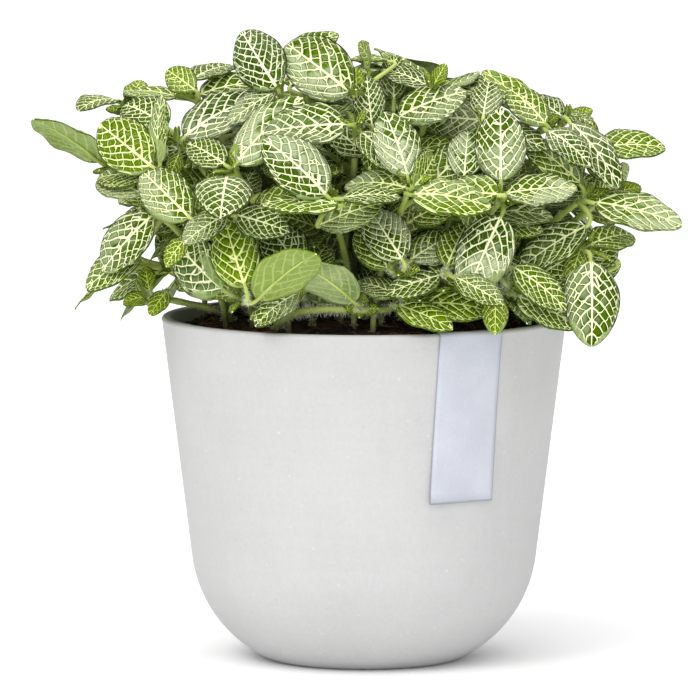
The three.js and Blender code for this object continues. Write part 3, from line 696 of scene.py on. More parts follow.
STEMS = all_stems()
print(len(STEMS), "stems with", sum(len(stem["leaves"]) for stem in STEMS), "leaves")

# %% Directions of a view from the front, turned round the pot
UP = Vector((0, 0, 1))
SKYWARD = Vector((0, math.sin(LOOK_DOWN), math.cos(LOOK_DOWN)))


def view_from(turn):
    spin = Matrix.Rotation(turn, 3, "Z")
    return spin @ Vector((1, 0, 0)), spin @ TOWARD, spin @ SKYWARD, spin


def seen_at(view, right, above, near):
    height = POT_HEIGHT + (above + near * math.sin(LOOK_DOWN)) / math.cos(LOOK_DOWN)
    return view[3] @ Vector((right, -near, height))


def blade_axes(view, pointing, right, sky):
    """The blade's axes: along its midrib, across it and out of its upper face."""
    across_view, toward, skyward, _ = view
    face = (toward * math.cos(right) * math.cos(sky)
            + across_view * math.sin(right) * math.cos(sky) + skyward * math.sin(sky))
    along = across_view * math.cos(pointing) + skyward * math.sin(pointing)
    along = (along - toward * (along.dot(face) / toward.dot(face))).normalized()
    return along, face.cross(along), face


# %% The wall and the soil that the stems stand in
RIM_RADIUS = 80.0
WALL = 4.0
WALL_LEAN = math.radians(7.1)
SOIL_HEAP = 138.0
SOIL_FLAT = 26.0
SOIL_SLOPE_END = 64.0
SOIL_FALL = 5.0
SOIL_EDGE = 130.0
SOIL_SLACK = 0.5


def wall_radius(inset, height):
    return RIM_RADIUS - inset / math.cos(WALL_LEAN) - (POT_HEIGHT - height) * math.tan(WALL_LEAN)


def soil_height(radius):
    share = min(max((radius - SOIL_FLAT) / (SOIL_SLOPE_END - SOIL_FLAT), 0), 1)
    rim_slope = wall_radius(WALL, SOIL_EDGE) - SOIL_SLOPE_END
    rim = min(max((radius - SOIL_SLOPE_END) / rim_slope, 0), 1)
    return SOIL_HEAP - SOIL_FALL * share * share - (SOIL_HEAP - SOIL_FALL - SOIL_EDGE) * rim


print("soil at the wall", SOIL_EDGE, "mm up, in the middle", SOIL_HEAP)

# %% [markdown]
# ## Where each leaf stands
# A leaf whose row would cross another one was moved a little nearer or farther, turned, or made
# smaller until it was clear. The scene finds the way that was taken by looking for the points of
# the blade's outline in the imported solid. That keeps every new blade on its solid.

# %% Points of a blade
SHIFTS = [0, 2.5, -2.5, 5, -5, 7.5, -7.5, 10, -10, 13, -13, 16, -16]
TURNS = [0, 13, -13]
SCALES = [1, 0.85]
PEG_DEPTH = 11
PAIR_STEP = 2.7
SOLID_BLADE = 0.7
SOLID_WIDTH_SHARE = 0.7
SOLID_ROUNDNESS = 0.75
SMALL_LEAF = 13
SAME_POINT = 0.03
BEFORE_CROWN = 3
PEG_CORNERS = 4
BEND_HEIGHT = 10


def middle_line(leaf, share):
    """The point on the midrib's arc at a share of the length, and the blade's face there."""
    along, _, face = leaf["axes"]
    droop = leaf["droop"]
    bend = leaf["length"] / droop
    angle = droop * (share - 0.5)
    out = bend * (math.sin(droop / 2) + math.sin(angle))
    rise = bend * (math.cos(angle) - math.cos(droop / 2))
    middle = leaf["base"] + along * out + face * rise
    return middle, face * math.cos(angle) + along * math.sin(angle)


def solid_points(leaf, share):
    """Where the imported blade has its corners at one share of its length."""
    middle, face = middle_line(leaf, share)
    arch = math.sin(math.pi * share**OUTLINE_SKEW) ** SOLID_ROUNDNESS if share < 1 else 0
    half = 0.5 * SOLID_WIDTH_SHARE * leaf["length"] * arch
    for place in ((-1, 1) if share < 1 else (0,)):
        lift = half * (abs(place) * leaf["fold"] + place * leaf["lean"])
        point = middle + leaf["axes"][1] * (place * half) + face * lift
        for side in (0.5, -0.5):
            yield point + face * (side * SOLID_BLADE)


print("blade rule ready")

# %% Find every leaf in its solid
def solid_tree(node):
    corners = [v.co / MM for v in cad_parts[node].data.vertices]
    tree = KDTree(len(corners))
    for i, corner in enumerate(corners):
        tree.insert(corner, i)
    tree.balance()
    return tree, corners


def stem_root(corners):
    """Where the stem leaves the soil: straight above the foot of its peg."""
    different = {tuple(round(c, 3) for c in corner) for corner in corners}
    lowest = sorted(different, key=lambda c: c[2])[:PEG_CORNERS]
    return sum((Vector(c) for c in lowest), Vector()) / PEG_CORNERS + UP * PEG_DEPTH


def curve_point(ends, t):
    a, b, c, d = ends
    s = 1 - t
    return a * s**3 + b * (3 * s * s * t) + c * (3 * s * t * t) + d * t**3


def curve_way(ends, t):
    a, b, c, d = ends
    s = 1 - t
    return ((b - a) * (3 * s * s) + (c - b) * (6 * s * t) + (d - c) * (3 * t * t)).normalized()


def stem_curve(root, crown):
    outward = (crown - UP * (POT_HEIGHT - BEND_HEIGHT)).normalized()
    rise = max(crown.z - root.z, 12)
    return root, root + UP * (0.4 * rise), crown - outward * (0.3 * (crown - root).length), crown


def placed_leaf(stem, number, row, tree):
    right, above, pointing, length, face_right, face_sky, nearer = row
    draw = dice(stem["number"] * 50 + number)
    pairs_above = math.ceil(len(stem["leaves"]) / 2) - 1 - number // 2
    leaf = {"root": stem["crown"] - stem["way"] * PAIR_STEP * (pairs_above + 0.4)}
    leaf["droop"] = math.radians(draw(16, 42))
    leaf["fold"] = draw(0.05, 0.26)
    leaf["lean"] = draw(-0.07, 0.07)
    start = seen_at(stem["view"], right, above, stem["near"] + BEFORE_CROWN + nearer)
    stations = (0.2, 0.62) if length < SMALL_LEAF else (0.13, 0.42, 0.74)
    best = (0, None)
    for scale in SCALES:
        for turn in TURNS:
            angles = (math.radians(a) for a in (pointing + turn, face_right, face_sky))
            leaf["axes"] = blade_axes(stem["view"], *angles)
            leaf["length"] = length * scale
            for shift in SHIFTS:
                leaf["base"] = start + stem["view"][1] * shift
                tip = next(solid_points(leaf, 1))
                if tree.find(tip)[2] > SAME_POINT:
                    continue
                points = (point for share in stations for point in solid_points(leaf, share))
                hits = sum(tree.find(point)[2] < SAME_POINT for point in points)
                if hits > best[0]:
                    best = (hits, dict(leaf))
    return best[1]


for number, stem in enumerate(STEMS):
    stem["number"] = number
    stem["node"] = f"leafy_stem_{number + 1:02d}"
    stem["view"] = view_from(stem["turn"])
    tree, corners = solid_tree(stem["node"])
    root = stem_root(corners)
    crown = seen_at(stem["view"], *stem["crown"], stem["near"])
    stem["curve"] = stem_curve(root, crown)
    stem["crown"] = crown
    stem["way"] = curve_way(stem["curve"], 1)
    found = [placed_leaf(stem, i, row, tree) for i, row in enumerate(stem["leaves"])]
    stem["placed"] = [leaf for leaf in found if leaf]
print(sum(len(stem["placed"]) for stem in STEMS), "leaves found in the solids")

# %% [markdown]
# ## Blades, stalks and stems
# A blade starts as a flat grid. Each of its points is moved to the leaf's form: an arch along the
# midrib, a soft fold, edges that curl down and a wavy margin. Then the grid is given its
# thickness. Its columns crowd together at the two ends, where the outline turns fastest.
#
# A stalk or a stem is a tube: a circle that is extruded ring by ring, and each new ring is moved,
# turned and scaled to the next point of its path. The stalk runs on under the blade as the raised
# midrib that the underside shows.

# %% One blade
BLADE_THICKNESS = 0.5
LEAST_HALF = 0.45
CURL_FROM = 0.5  # the share of the half width where the edge begins to curl
WAVES = 15  # how fast the wave runs along the margin
UPPER, UNDER, SKIN, HAIR = range(4)


def outline(share):
    return HALF_SHARE * max(math.sin(math.pi * share**OUTLINE_SKEW), 0.0) ** OUTLINE_FULLNESS


def blade_point(leaf, share, place):
    middle, face = middle_line(leaf, share)
    half = max(outline(share) * leaf["length"] * leaf["slim"], LEAST_HALF)
    out = abs(place)
    fold = (math.sqrt(out * out + 0.03) - 0.17) * leaf["fold"] + place * leaf["lean"]
    curl = leaf["curl"] * max(out - CURL_FROM, 0) ** 2
    wave = leaf["wave"] * out**3 * math.sin(leaf["phase"] + WAVES * share + 2 * place)
    lift = half * (fold - curl + wave)
    return middle + leaf["axes"][1] * (place * half) + face * lift


def faces_of(points):
    return list({face: None for point in points for face in point.link_faces})


def grow_blade(bm, layers, leaf, columns, rows):
    points = bmesh.ops.create_grid(bm, x_segments=columns, y_segments=rows, size=0.5)["verts"]
    for point in points:
        share = 0.5 - 0.5 * math.cos(math.pi * (point.co.x + 0.5))
        place = point.co.y * 2
        point[layers["share"]], point[layers["place"]] = share, place
        for name in ("seed", "youth", "satin"):
            point[layers[name]] = leaf[name]
        point.co = blade_point(leaf, share, place) * MM
    made = bmesh.ops.solidify(bm, geom=faces_of(points), thickness=BLADE_THICKNESS * MM)["geom"]
    flat = set(points)
    copies = [g for g in made if isinstance(g, bmesh.types.BMVert) and g not in flat]
    whole = faces_of(points + copies)
    bmesh.ops.recalc_face_normals(bm, faces=whole)
    up = sum((point.co for point in points), Vector()) - sum((copy.co for copy in copies), Vector())
    lower = set(copies if up.dot(leaf["axes"][2]) > 0 else points)
    for face in whole:
        face.material_index = UNDER if all(point in lower for point in face.verts) else UPPER
        for loop in face.loops:
            share, place = loop.vert[layers["share"]], loop.vert[layers["place"]]
            loop[layers["leaf"]].uv = (share, 0.5 + 0.5 * place)


# %% A tube along a path
def tube(bm, path, radii, sides, material):
    ways = [(b - a).normalized() for a, b in zip(path, path[1:])]
    ways = [ways[0]] + [(a + b).normalized() for a, b in zip(ways, ways[1:])] + [ways[-1]]
    aimed = ways[0].to_track_quat("Z", "Y").to_matrix().to_4x4()
    put = Matrix.Translation(path[0] * MM) @ aimed
    points = bmesh.ops.create_circle(bm, segments=sides, radius=radii[0] * MM, matrix=put)["verts"]
    edges = list({edge: None for point in points for edge in point.link_edges})
    first = edges
    for i in range(1, len(path)):
        made = bmesh.ops.extrude_edge_only(bm, edges=edges)["geom"]
        moved = [g for g in made if isinstance(g, bmesh.types.BMVert)]
        edges = [g for g in made if isinstance(g, bmesh.types.BMEdge)]
        bend = ways[i - 1].rotation_difference(ways[i]).to_matrix().to_4x4()
        size = Matrix.Scale(radii[i] / radii[i - 1], 4)
        way = Matrix.Translation(path[i] * MM) @ bend @ size @ Matrix.Translation(-path[i - 1] * MM)
        bmesh.ops.transform(bm, matrix=way, verts=moved)
        points = points + moved
    for rim in (first, edges):
        bmesh.ops.contextual_create(bm, geom=rim)
    whole = faces_of(points)
    bmesh.ops.recalc_face_normals(bm, faces=whole)
    for face in whole:
        face.material_index = material


MIDRIB = ((0.07, 0.74, 0.72), (0.25, 0.56, 0.62), (0.5, 0.4, 0.5), (0.8, 0.2, 0.35))
STALK_STEPS = 8


def stalk_path(stem, leaf):
    """From inside the stem to the blade's foot, then on under the midrib."""
    root, (along, _, face) = leaf["root"], leaf["axes"]
    base = leaf["base"] - face * 0.65
    reach = max((base - root).length * 0.42, 2.2)
    off = ((base - root).normalized() + stem["way"] * 0.5).normalized()
    ends = (root, root + off * reach, base - along * reach, base)
    shares = [i / STALK_STEPS for i in range(STALK_STEPS + 1)]
    path = [curve_point(ends, share) for share in shares]
    radii = [1.25 - 0.45 * share for share in shares]
    for share, radius, depth in MIDRIB:
        middle, face = middle_line(leaf, share)
        path.append(middle - face * depth)
        radii.append(radius)
    slim = min(1.0, 0.45 + leaf["length"] / 40)
    return path, [radius * slim for radius in radii]


print("blade and tube makers ready")

# %% Hairs on stems and stalks
HAIR_RADIUS = 0.09
HAIR_TIP = 0.2  # the tip's radius over the foot's
STEM_HAIR_LENGTH = 1.5


def bristles(bm, path, radii, count, draw, longest=STEM_HAIR_LENGTH):
    for _ in range(count):
        at = draw(0, len(path) - 1.001)
        i = int(at)
        way = path[i + 1] - path[i]
        centre = path[i] + way * (at - i)
        radius = radii[i] + (radii[i + 1] - radii[i]) * (at - i)
        side = way.orthogonal().normalized()
        side.rotate(Matrix.Rotation(draw(0, 2 * math.pi), 3, way))
        lean = (side + way.normalized() * draw(-0.5, 0.5)).normalized()
        length = draw(0.5, 1.0) * longest
        middle = centre + side * radius * 0.9 + lean * (length / 2)
        put = Matrix.Translation(middle * MM) @ lean.to_track_quat("Z", "Y").to_matrix().to_4x4()
        hair = bmesh.ops.create_cone(bm, cap_ends=True, segments=3, radius1=HAIR_RADIUS * MM,
                                     radius2=HAIR_RADIUS * HAIR_TIP * MM, depth=length * MM,
                                     matrix=put)
        for face in faces_of(hair["verts"]):
            face.material_index = HAIR


print("hair maker ready")

# %% [markdown]
# ## Young tips and lower leaves
# The solids hold the leaves that give the bush its form. The real plant has more: each stem ends
# in two crossed pairs of small yellow-green leaves that are just opening, and older pairs sit lower
# on the stem, in the shade. Those fill the gaps, so that no light shows through. A lower leaf is
# kept only where it crosses no other, which a tree of boxes round each blade's faces tells quickly.

# %% Young leaves at every tip
def fresh_leaf(draw, base, along, up, length, **looks):
    along = along.normalized()
    face = (up - along * up.dot(along)).normalized()
    leaf = {"root": base - along, "base": base, "axes": (along, face.cross(along), face),
            "length": length, "droop": math.radians(draw(14, 40)), "fold": draw(0.08, 0.3),
            "lean": draw(-0.06, 0.06)}
    leaf.update(looks)
    return leaf


LOOKS = {  # (stem, leaf): (youth, painted sheen), as the nearest leaves show
    (0, 0): (0.1, 0.8), (1, 0): (0.2, 0.5), (2, 0): (0.1, 0.55), (2, 1): (0.25, 0.9),
    (2, 2): (0.45, 0.4), (2, 3): (0.05, 1.0), (3, 0): (0.45, 0.4), (3, 1): (0.1, 0.9),
    (3, 2): (0.35, 0.6), (4, 0): (0.3, 0.75), (5, 0): (0.1, 0.35), (5, 1): (0.75, 0.0),
    (8, 0): (0.1, 0.3), (9, 0): (0.6, 0.2), (11, 0): (0.2, 0.5), (12, 0): (0.2, 0.75),
    (13, 0): (0.0, 0.1), (14, 0): (0.0, 0.4), (17, 0): (0.2, 0.8), (17, 1): (0.1, 0.2),
    (18, 0): (0.1, 0.35), (19, 0): (0.1, 0.7), (21, 0): (0.6, 0.0), (21, 1): (0.1, 0.25),
    (21, 2): (0.8, 0.0), (24, 0): (0.0, 0.0), (25, 0): (0.6, 0.0), (25, 1): (0.6, 0.0),
    (29, 0): (0.45, 0.0), (30, 0): (0.3, 0.7), (31, 0): (0.15, 0.4), (31, 1): (0.3, 0.2),
}
LOOKS_SEED = 5000
SHAPES = {  # (stem, leaf): longer, slimmer, droop in degrees; two are seen along their edge
    (21, 2): (1.2, 0.64, 25), (24, 0): (1.32, 0.76, 30), (28, 0): (1.0, 0.85, 20),
    (10, 0): (1.08, 0.5, -40), (7, 0): (1.0, 0.6, -25),
}


def give_looks(leaf, draw, name=None):
    """Seed, age and painted sheen of a leaf, and how its edge runs."""
    small = min(max((20 - leaf["length"]) / 12, 0), 1)
    leaf.setdefault("youth", min(1.0, 0.9 * small + draw(0.05, 0.5)))
    leaf.setdefault("satin", 0.7 * draw() ** 3 * (1 - small))
    if name in LOOKS:
        leaf["youth"], leaf["satin"] = LOOKS[name]
    leaf["seed"] = draw(0, 10)
    leaf["curl"] = draw(0.2, 0.95)
    leaf["wave"] = draw(0.03, 0.085)
    leaf["phase"] = draw(0, 2 * math.pi)
    leaf["slim"] = draw(0.86, 1.0)
    if name in SHAPES:
        longer, leaf["slim"], droop = SHAPES[name]
        leaf["length"] *= longer
        leaf["droop"] = math.radians(droop)


BOX_MARGIN = 0.2


def blade_boxes(leaf):
    """A tree of boxes round a coarse blade, to find what it crosses."""
    shares = (0.02, 0.25, 0.5, 0.75, 0.98)
    points = [blade_point(leaf, share, place) for share in shares for place in (-1, 0, 1)]
    firsts = [3 * i + j for i in range(len(shares) - 1) for j in range(2)]
    faces = [(first, first + 1, first + 4, first + 3) for first in firsts]
    return BVHTree.FromPolygons(points, faces, epsilon=BOX_MARGIN)


grown = []
for stem in STEMS:
    draw = dice(LOOKS_SEED + stem["number"])
    for i, leaf in enumerate(stem["placed"]):
        give_looks(leaf, draw, (stem["number"], i))
        middle = leaf["base"] + leaf["axes"][0] * (leaf["length"] / 2)
        grown.append((middle, blade_boxes(leaf), stem["turn"] == 0.0))
    last = stem["placed"][-1]["axes"][0]
    side = (last - stem["way"] * last.dot(stem["way"])).normalized().cross(stem["way"])
    stem["young"] = []
    pairs = ((side, 7, 11, 0.8), (side.cross(stem["way"]), 4, 7, 1.6))
    for way, least, most, up in pairs:
        for sign in (1, -1):
            along = stem["way"] * 0.75 + way * sign * 0.65
            base = stem["crown"] + way * sign * 0.7 + stem["way"] * up
            leaf = fresh_leaf(draw, base, along, stem["way"] - way * sign * 0.6, draw(least, most),
                              youth=draw(0.8, 1.0), satin=0.0)
            give_looks(leaf, draw)
            stem["young"].append(leaf)
print(sum(len(stem["young"]) for stem in STEMS), "young leaves at the tips")

# %% Leaves in the shade fill the bush
BUSH_ACROSS, BUSH_NEAR, BUSH_UP, BUSH_MIDDLE = 114, 92, 96, 146
OVER_RIM = 4
OVER_SOIL = 3
OPEN_SOIL_END, OPEN_SOIL_UP = 30, 4  # the strip of soil that the picture shows stays open
SHADE_SEED = 7000
SHADE_TRIES = 44
LOW_TRIES = 150
LOW_CROWN = POT_HEIGHT + 30
FRONT_CROWN = -40
REACH = 36
RIBBON_HALF = 1.6
SIGHT = 70


def in_bush(point):
    out = (point.x / BUSH_ACROSS) ** 2 + (point.y / BUSH_NEAR) ** 2
    seen_up = (point.z - POT_HEIGHT) * math.cos(LOOK_DOWN) + point.y * math.sin(LOOK_DOWN)
    if point.y < 0 and point.x < OPEN_SOIL_END and seen_up < OPEN_SOIL_UP:
        return False
    radius = math.hypot(point.x, point.y)
    lowest = soil_height(radius) + OVER_SOIL if radius < SOIL_SLOPE_END else POT_HEIGHT + OVER_RIM
    return out + ((point.z - BUSH_MIDDLE) / BUSH_UP) ** 2 < 1 and point.z > lowest


def stem_ribbon(stem):
    """A thin cross of two ribbons along a stem, for the crossing test."""
    points, faces = [], []
    for wide in (Vector((RIBBON_HALF, 0, 0)), Vector((0, RIBBON_HALF, 0))):
        for i in range(9):
            at = curve_point(stem["curve"], i / 8)
            points += [at - wide, at + wide]
            if i:
                n = len(points)
                faces.append((n - 4, n - 3, n - 1, n - 2))
    return BVHTree.FromPolygons(points, faces)


def hides_a_placed_leaf(leaf, near):
    places = ((0.5, 0), (0.9, 0), (0.4, 0.8), (0.4, -0.8))
    spots = [blade_point(leaf, share, place) for share, place in places]
    return any(tree.ray_cast(spot, -TOWARD, SIGHT)[0] for tree in near for spot in spots)


def has_room(leaf):
    spots = [blade_point(leaf, share, place) for share in (0.3, 0.6, 1) for place in (-1, 0, 1)]
    if not all(in_bush(spot) for spot in spots):
        return False
    middle = spots[len(spots) // 2]
    boxes = blade_boxes(leaf)
    near = [tree for centre, tree, _ in grown if (centre - middle).length < REACH]
    if any(boxes.overlap(tree) for tree in near) or any(boxes.overlap(tree) for tree in ribbons):
        return False
    stalk = leaf["base"] - leaf["root"]
    if any(tree.ray_cast(leaf["root"], stalk.normalized(), stalk.length)[0] for tree in near):
        return False
    in_front = [tree for centre, tree, listed in grown
                if listed and (centre - middle).cross(TOWARD).length < REACH]
    if middle.y < 0 and hides_a_placed_leaf(leaf, in_front):
        return False
    grown.append((middle, boxes, False))
    return True


def shade_leaf(draw, stem, low, high):
    root = curve_point(stem["curve"], draw(low, high))
    outward = Vector((root.x, root.y * 1.2, 0)).normalized()
    heading = outward.copy()
    heading.rotate(Matrix.Rotation(math.radians(draw(-110, 110)), 3, "Z"))
    heading += UP * draw(-0.3, 0.7)
    sky = math.radians(18 + 50 * min((root.z - POT_HEIGHT) / 80, 1) + draw(-14, 14))
    face = outward * math.cos(sky) + UP * math.sin(sky)
    face.rotate(Matrix.Rotation(math.radians(draw(-30, 30)), 3, "Z"))
    along = heading + UP * draw(-0.5, 0.3)
    # A leaf in the shade draws a yellower youth: inner leaves are yellower, and the tint is also a
    # painted tint of the green light that comes through the leaves above.
    leaf = fresh_leaf(draw, root + heading.normalized() * draw(4, 13), along, face, draw(21, 31),
                      youth=draw(0.15, 0.7), satin=draw() ** 3 * 0.3)
    leaf["root"] = root
    return leaf


ribbons = [stem_ribbon(stem) for stem in STEMS]
for stem in STEMS:
    stem["lower"] = []
for low, high in ((0.55, 0.98), (0.3, 0.8)):
    for stem in STEMS:
        draw = dice(SHADE_SEED + stem["number"] + round(1000 * low))
        low_front = stem["crown"].z < LOW_CROWN and stem["crown"].y < FRONT_CROWN
        for _ in range(LOW_TRIES if low_front else SHADE_TRIES):
            leaf = shade_leaf(draw, stem, low, high)
            give_looks(leaf, draw)
            if has_room(leaf):
                stem["lower"].append(leaf)
print(sum(len(stem["lower"]) for stem in STEMS), "leaves in the shade")

# %% [markdown]
# ## One piece for each leafy stem
# Everything that belongs to one stem becomes one mesh: the stem with a small swelling at each pair
# of leaves, the stalks, the blades and the hairs. It stands for the solid of the same number and
# moves with the body of the part. Stems at the front carry more hairs, because there the eye comes
# close to them.

# %% Grow the stems
STEM_SEED = 9000
STEM_STEPS = 12
FOOT_DEPTH, TIP_OVER_CROWN = 4, 1.2
FOOT_RADIUS, TIP_RADIUS = 1.05, 0.7
KNOTS, KNOT = 4, 0.16
LOW_HAIRS, FRONT_HAIRS, BACK_HAIRS = 260, 90, 50
LOW_STALK_HAIRS, STALK_HAIRS = (130, 1.7), (14, 1.2)  # how many and how long
GRIDS = (("placed", 22, 10), ("lower", 12, 6), ("young", 10, 6))  # columns and rows of a blade


def stem_tube(stem):
    """A stem that tapers to its foot and its tip, with knots where pairs of leaves sit."""
    ends = stem["curve"]
    shares = [i / STEM_STEPS for i in range(STEM_STEPS + 1)]
    path = [ends[0] - UP * FOOT_DEPTH] + [curve_point(ends, share) for share in shares]
    path.append(ends[3] + stem["way"] * TIP_OVER_CROWN)
    radii = [FOOT_RADIUS]
    for share in shares:
        knot = KNOT * max(math.cos(2 * math.pi * share * KNOTS), 0) ** 6
        radii.append((1.45 - 0.35 * share - 0.4 * max(0, 1 - 4 * share)) * (1 + knot))
    return path, radii + [TIP_RADIUS]


def leafy_piece(stem):
    bm = bmesh.new()
    names = ("share", "place", "seed", "youth", "satin")
    layers = {name: bm.verts.layers.float.new(name) for name in names}
    layers["leaf"] = bm.loops.layers.uv.new("leaf")
    draw = dice(STEM_SEED + stem["number"])
    path, radii = stem_tube(stem)
    tube(bm, path, radii, 10, SKIN)
    front = stem["turn"] == 0.0
    low = front and stem["crown"].z < LOW_CROWN
    hairs = LOW_HAIRS if low else FRONT_HAIRS if front else BACK_HAIRS
    bristles(bm, path[1:], radii[1:], hairs, draw)
    hairs, longest = LOW_STALK_HAIRS if low else STALK_HAIRS
    for kind, columns, rows in GRIDS:
        for leaf in stem[kind]:
            grow_blade(bm, layers, leaf, columns, rows)
            path, radii = stalk_path(stem, leaf)
            tube(bm, path, radii, 7, SKIN)
            if kind == "placed":
                hairy = STALK_STEPS + 3
                bristles(bm, path[:hairy], radii[:hairy], hairs, draw, longest)
    return bm


def piece_from(bm, name, materials, node=None):
    mesh = bpy.data.meshes.new(name)
    bm.to_mesh(mesh)
    bm.free()
    mesh.shade_smooth()
    for material in materials:
        mesh.materials.append(material)
    piece = bpy.data.objects.new(name, mesh)
    scene.collection.objects.link(piece)
    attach(piece, "root")
    if node:
        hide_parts(node)
    return piece


faces = 0
for stem in STEMS:
    piece = piece_from(leafy_piece(stem), f"nerve_plant_stem_{stem['number'] + 1:02d}",
                       (UPPER_SIDE, UNDER_SIDE, STEM_SKIN, STEM_HAIR), stem["node"])
    faces += len(piece.data.polygons)
print(len(STEMS), "leafy stems,", faces, "faces")

# %% A stem that creeps over the soil
CREEPER = ((-36, -42, 133), (-26, -66, 152), (-4, -65, 140), (15, -62, 146))
CREEPER_STEPS = 16
CREEPER_RADIUS, CREEPER_TAPER = 1.75, 0.45
CREEPER_SEED = 11000
CREEPER_HAIRS, CREEPER_HAIR_LENGTH = 620, 2.3

creeper = bmesh.new()
ends = [Vector(point) for point in CREEPER]
shares = [i / CREEPER_STEPS for i in range(CREEPER_STEPS + 1)]
path = [curve_point(ends, share) for share in shares]
radii = [CREEPER_RADIUS - CREEPER_TAPER * share for share in shares]
tube(creeper, path, radii, 12, SKIN)
bristles(creeper, path, radii, CREEPER_HAIRS, dice(CREEPER_SEED), CREEPER_HAIR_LENGTH)
finishes = (UPPER_SIDE, UNDER_SIDE, CREEPER_SKIN, STEM_HAIR)
piece_from(creeper, "creeping_stem", finishes)
print("creeping stem", round((path[-1] - path[0]).length), "mm from end to end")

# %% [markdown]
# ## The pot
# The pot is moulded from recycled plastic with fine mineral dust, so it is matt and light grey.
# Seen close it has faint dark and light specks, soft streaks that run round it and fine upright
# strokes. Its profile is a straight leaning wall, a wide round belly and a small round at the foot,
# all in tangent arcs. Spun round the axis, it makes the whole pot, inside and out, in one step.

# %% Profile of the pot
BELLY_ROUND = 51.5
FOOT_ROUND = 10.0
FOOT_TURN = math.radians(63)
LIP_ROUND = 1.4
UNDER_LIP = POT_HEIGHT - LIP_ROUND - 0.6  # where the straight wall ends
WALL_RISES = 6
POT_STEPS = 128


def arc(x, y, radius, first, last, steps):
    angles = (first + (last - first) * i / steps for i in range(steps + 1))
    return [(x + radius * math.cos(a), y + radius * math.sin(a)) for a in angles]


def bowl_outline(inset, height, steps):
    """From the axis under the bowl up to a height on the wall, moved inwards by inset."""
    span = BELLY_ROUND - FOOT_ROUND
    belly_height = FOOT_ROUND + span * math.sin(FOOT_TURN)
    wall_foot = belly_height - BELLY_ROUND * math.sin(WALL_LEAN)
    belly_x = wall_radius(0, wall_foot) - BELLY_ROUND * math.cos(WALL_LEAN)
    foot_x = belly_x + span * math.cos(FOOT_TURN)
    points = [(0.0, inset)] + [(foot_x * share, inset) for share in (0.35, 0.7, 0.92)]
    points += arc(foot_x, FOOT_ROUND, FOOT_ROUND - inset, -math.pi / 2, -FOOT_TURN, 4)
    points += arc(belly_x, belly_height, BELLY_ROUND - inset, -FOOT_TURN, -WALL_LEAN, steps)[1:]
    low = points[-1][1]
    rises = [low + (height - low) * i / WALL_RISES for i in range(1, WALL_RISES + 1)]
    return points + [(wall_radius(inset, rise), rise) for rise in rises]


def spun(profile, steps):
    """A closed body from a profile that starts and ends on the axis, in millimetres."""
    bm = bmesh.new()
    points = [bm.verts.new((x * MM, 0, z * MM)) for x, z in profile]
    edges = [bm.edges.new(pair) for pair in zip(points, points[1:])]
    bmesh.ops.spin(bm, geom=points + edges, axis=(0, 0, 1), cent=(0, 0, 0),
                   angle=2 * math.pi, steps=steps, use_merge=True)
    bmesh.ops.remove_doubles(bm, verts=bm.verts, dist=1e-6)
    bmesh.ops.recalc_face_normals(bm, faces=bm.faces)
    return bm


def lip(off, steps):
    """Over the rim from outside to inside, at a distance off its surface."""
    middle, size = POT_HEIGHT - LIP_ROUND, LIP_ROUND + off
    outer, inner = RIM_RADIUS - LIP_ROUND, RIM_RADIUS - WALL + LIP_ROUND
    return (arc(outer, middle, size, 0.0, math.pi / 2, steps)
            + arc(inner, middle, size, math.pi / 2, math.pi, steps))


outside = bowl_outline(0, UNDER_LIP, 22)
inside = bowl_outline(WALL, UNDER_LIP, 18)
pot_profile = outside + lip(0, 5) + inside[::-1]
print(len(pot_profile), "points in the pot's profile")

# %% Plastic of the pot
STREAKS_ROUND = (14, 14, 260)  # a noise that is squeezed upwards runs round the pot
STROKES_UP = (300, 300, 26)
POT_RELIEF = 0.09 * MM


def pot_plastic():
    material, tree, shader = finish_of("recycled_plastic")
    place = object_place(tree)
    stretched = add(tree, "Mapping", {"Vector": place, "Scale": STREAKS_ROUND}).outputs[0]
    streaks = step(tree, grain(tree, stretched, 1.0, 4, 0.6), 0.3, 0.7)
    brushed = add(tree, "Mapping", {"Vector": place, "Scale": STROKES_UP}).outputs[0]
    strokes = step(tree, grain(tree, brushed, 1.0, 3, 0.6), 0.3, 0.7)
    clouds = step(tree, grain(tree, place, 22, 3), 0.3, 0.7)
    fine = step(tree, grain(tree, place, 650, 3), 0.3, 0.7)
    marks = calc(tree, "MULTIPLY", fine, 0.32)
    for pattern, share in ((clouds, 0.4), (strokes, 0.12), (streaks, 0.16)):
        marks = calc(tree, "MULTIPLY_ADD", pattern, share, marks)
    body = blend(tree, marks, paint(181, 181, 181), paint(193, 193, 193))
    dots = add(tree, "TexVoronoi", {"Vector": place, "Scale": 300.0, "Randomness": 1.0}).outputs
    spots = calc(tree, "MULTIPLY", step(tree, dots["Distance"], 0.12, 0.24, 1.0, 0.0),
                 step(tree, grain(tree, place, 700), 0.46, 0.6))
    luck = add(tree, "SeparateXYZ", {0: dots["Color"]}).outputs
    dark = calc(tree, "MULTIPLY", spots, step(tree, luck[0], 0.6, 0.7, 0.0, 0.3))
    pale = calc(tree, "MULTIPLY", spots, step(tree, luck[1], 0.72, 0.78, 0.0, 0.4))
    speckled = blend(tree, dark, body, paint(164, 163, 160))
    colour = blend(tree, pale, speckled, paint(216, 216, 215))
    dress(tree, shader, colour, step(tree, marks, 0.2, 0.8, 0.62, 0.74), gloss=0.35)
    dust = calc(tree, "MULTIPLY", grain(tree, place, 1400, 3), 0.4)
    relief(tree, shader, calc(tree, "MULTIPLY_ADD", marks, 0.6, dust), POT_RELIEF, 0.45)
    return material


POT_PLASTIC = pot_plastic()
pot = piece_from(spun(pot_profile, POT_STEPS), "planter", (POT_PLASTIC,), "pot")
print("planter:", len(pot.data.polygons), "faces")

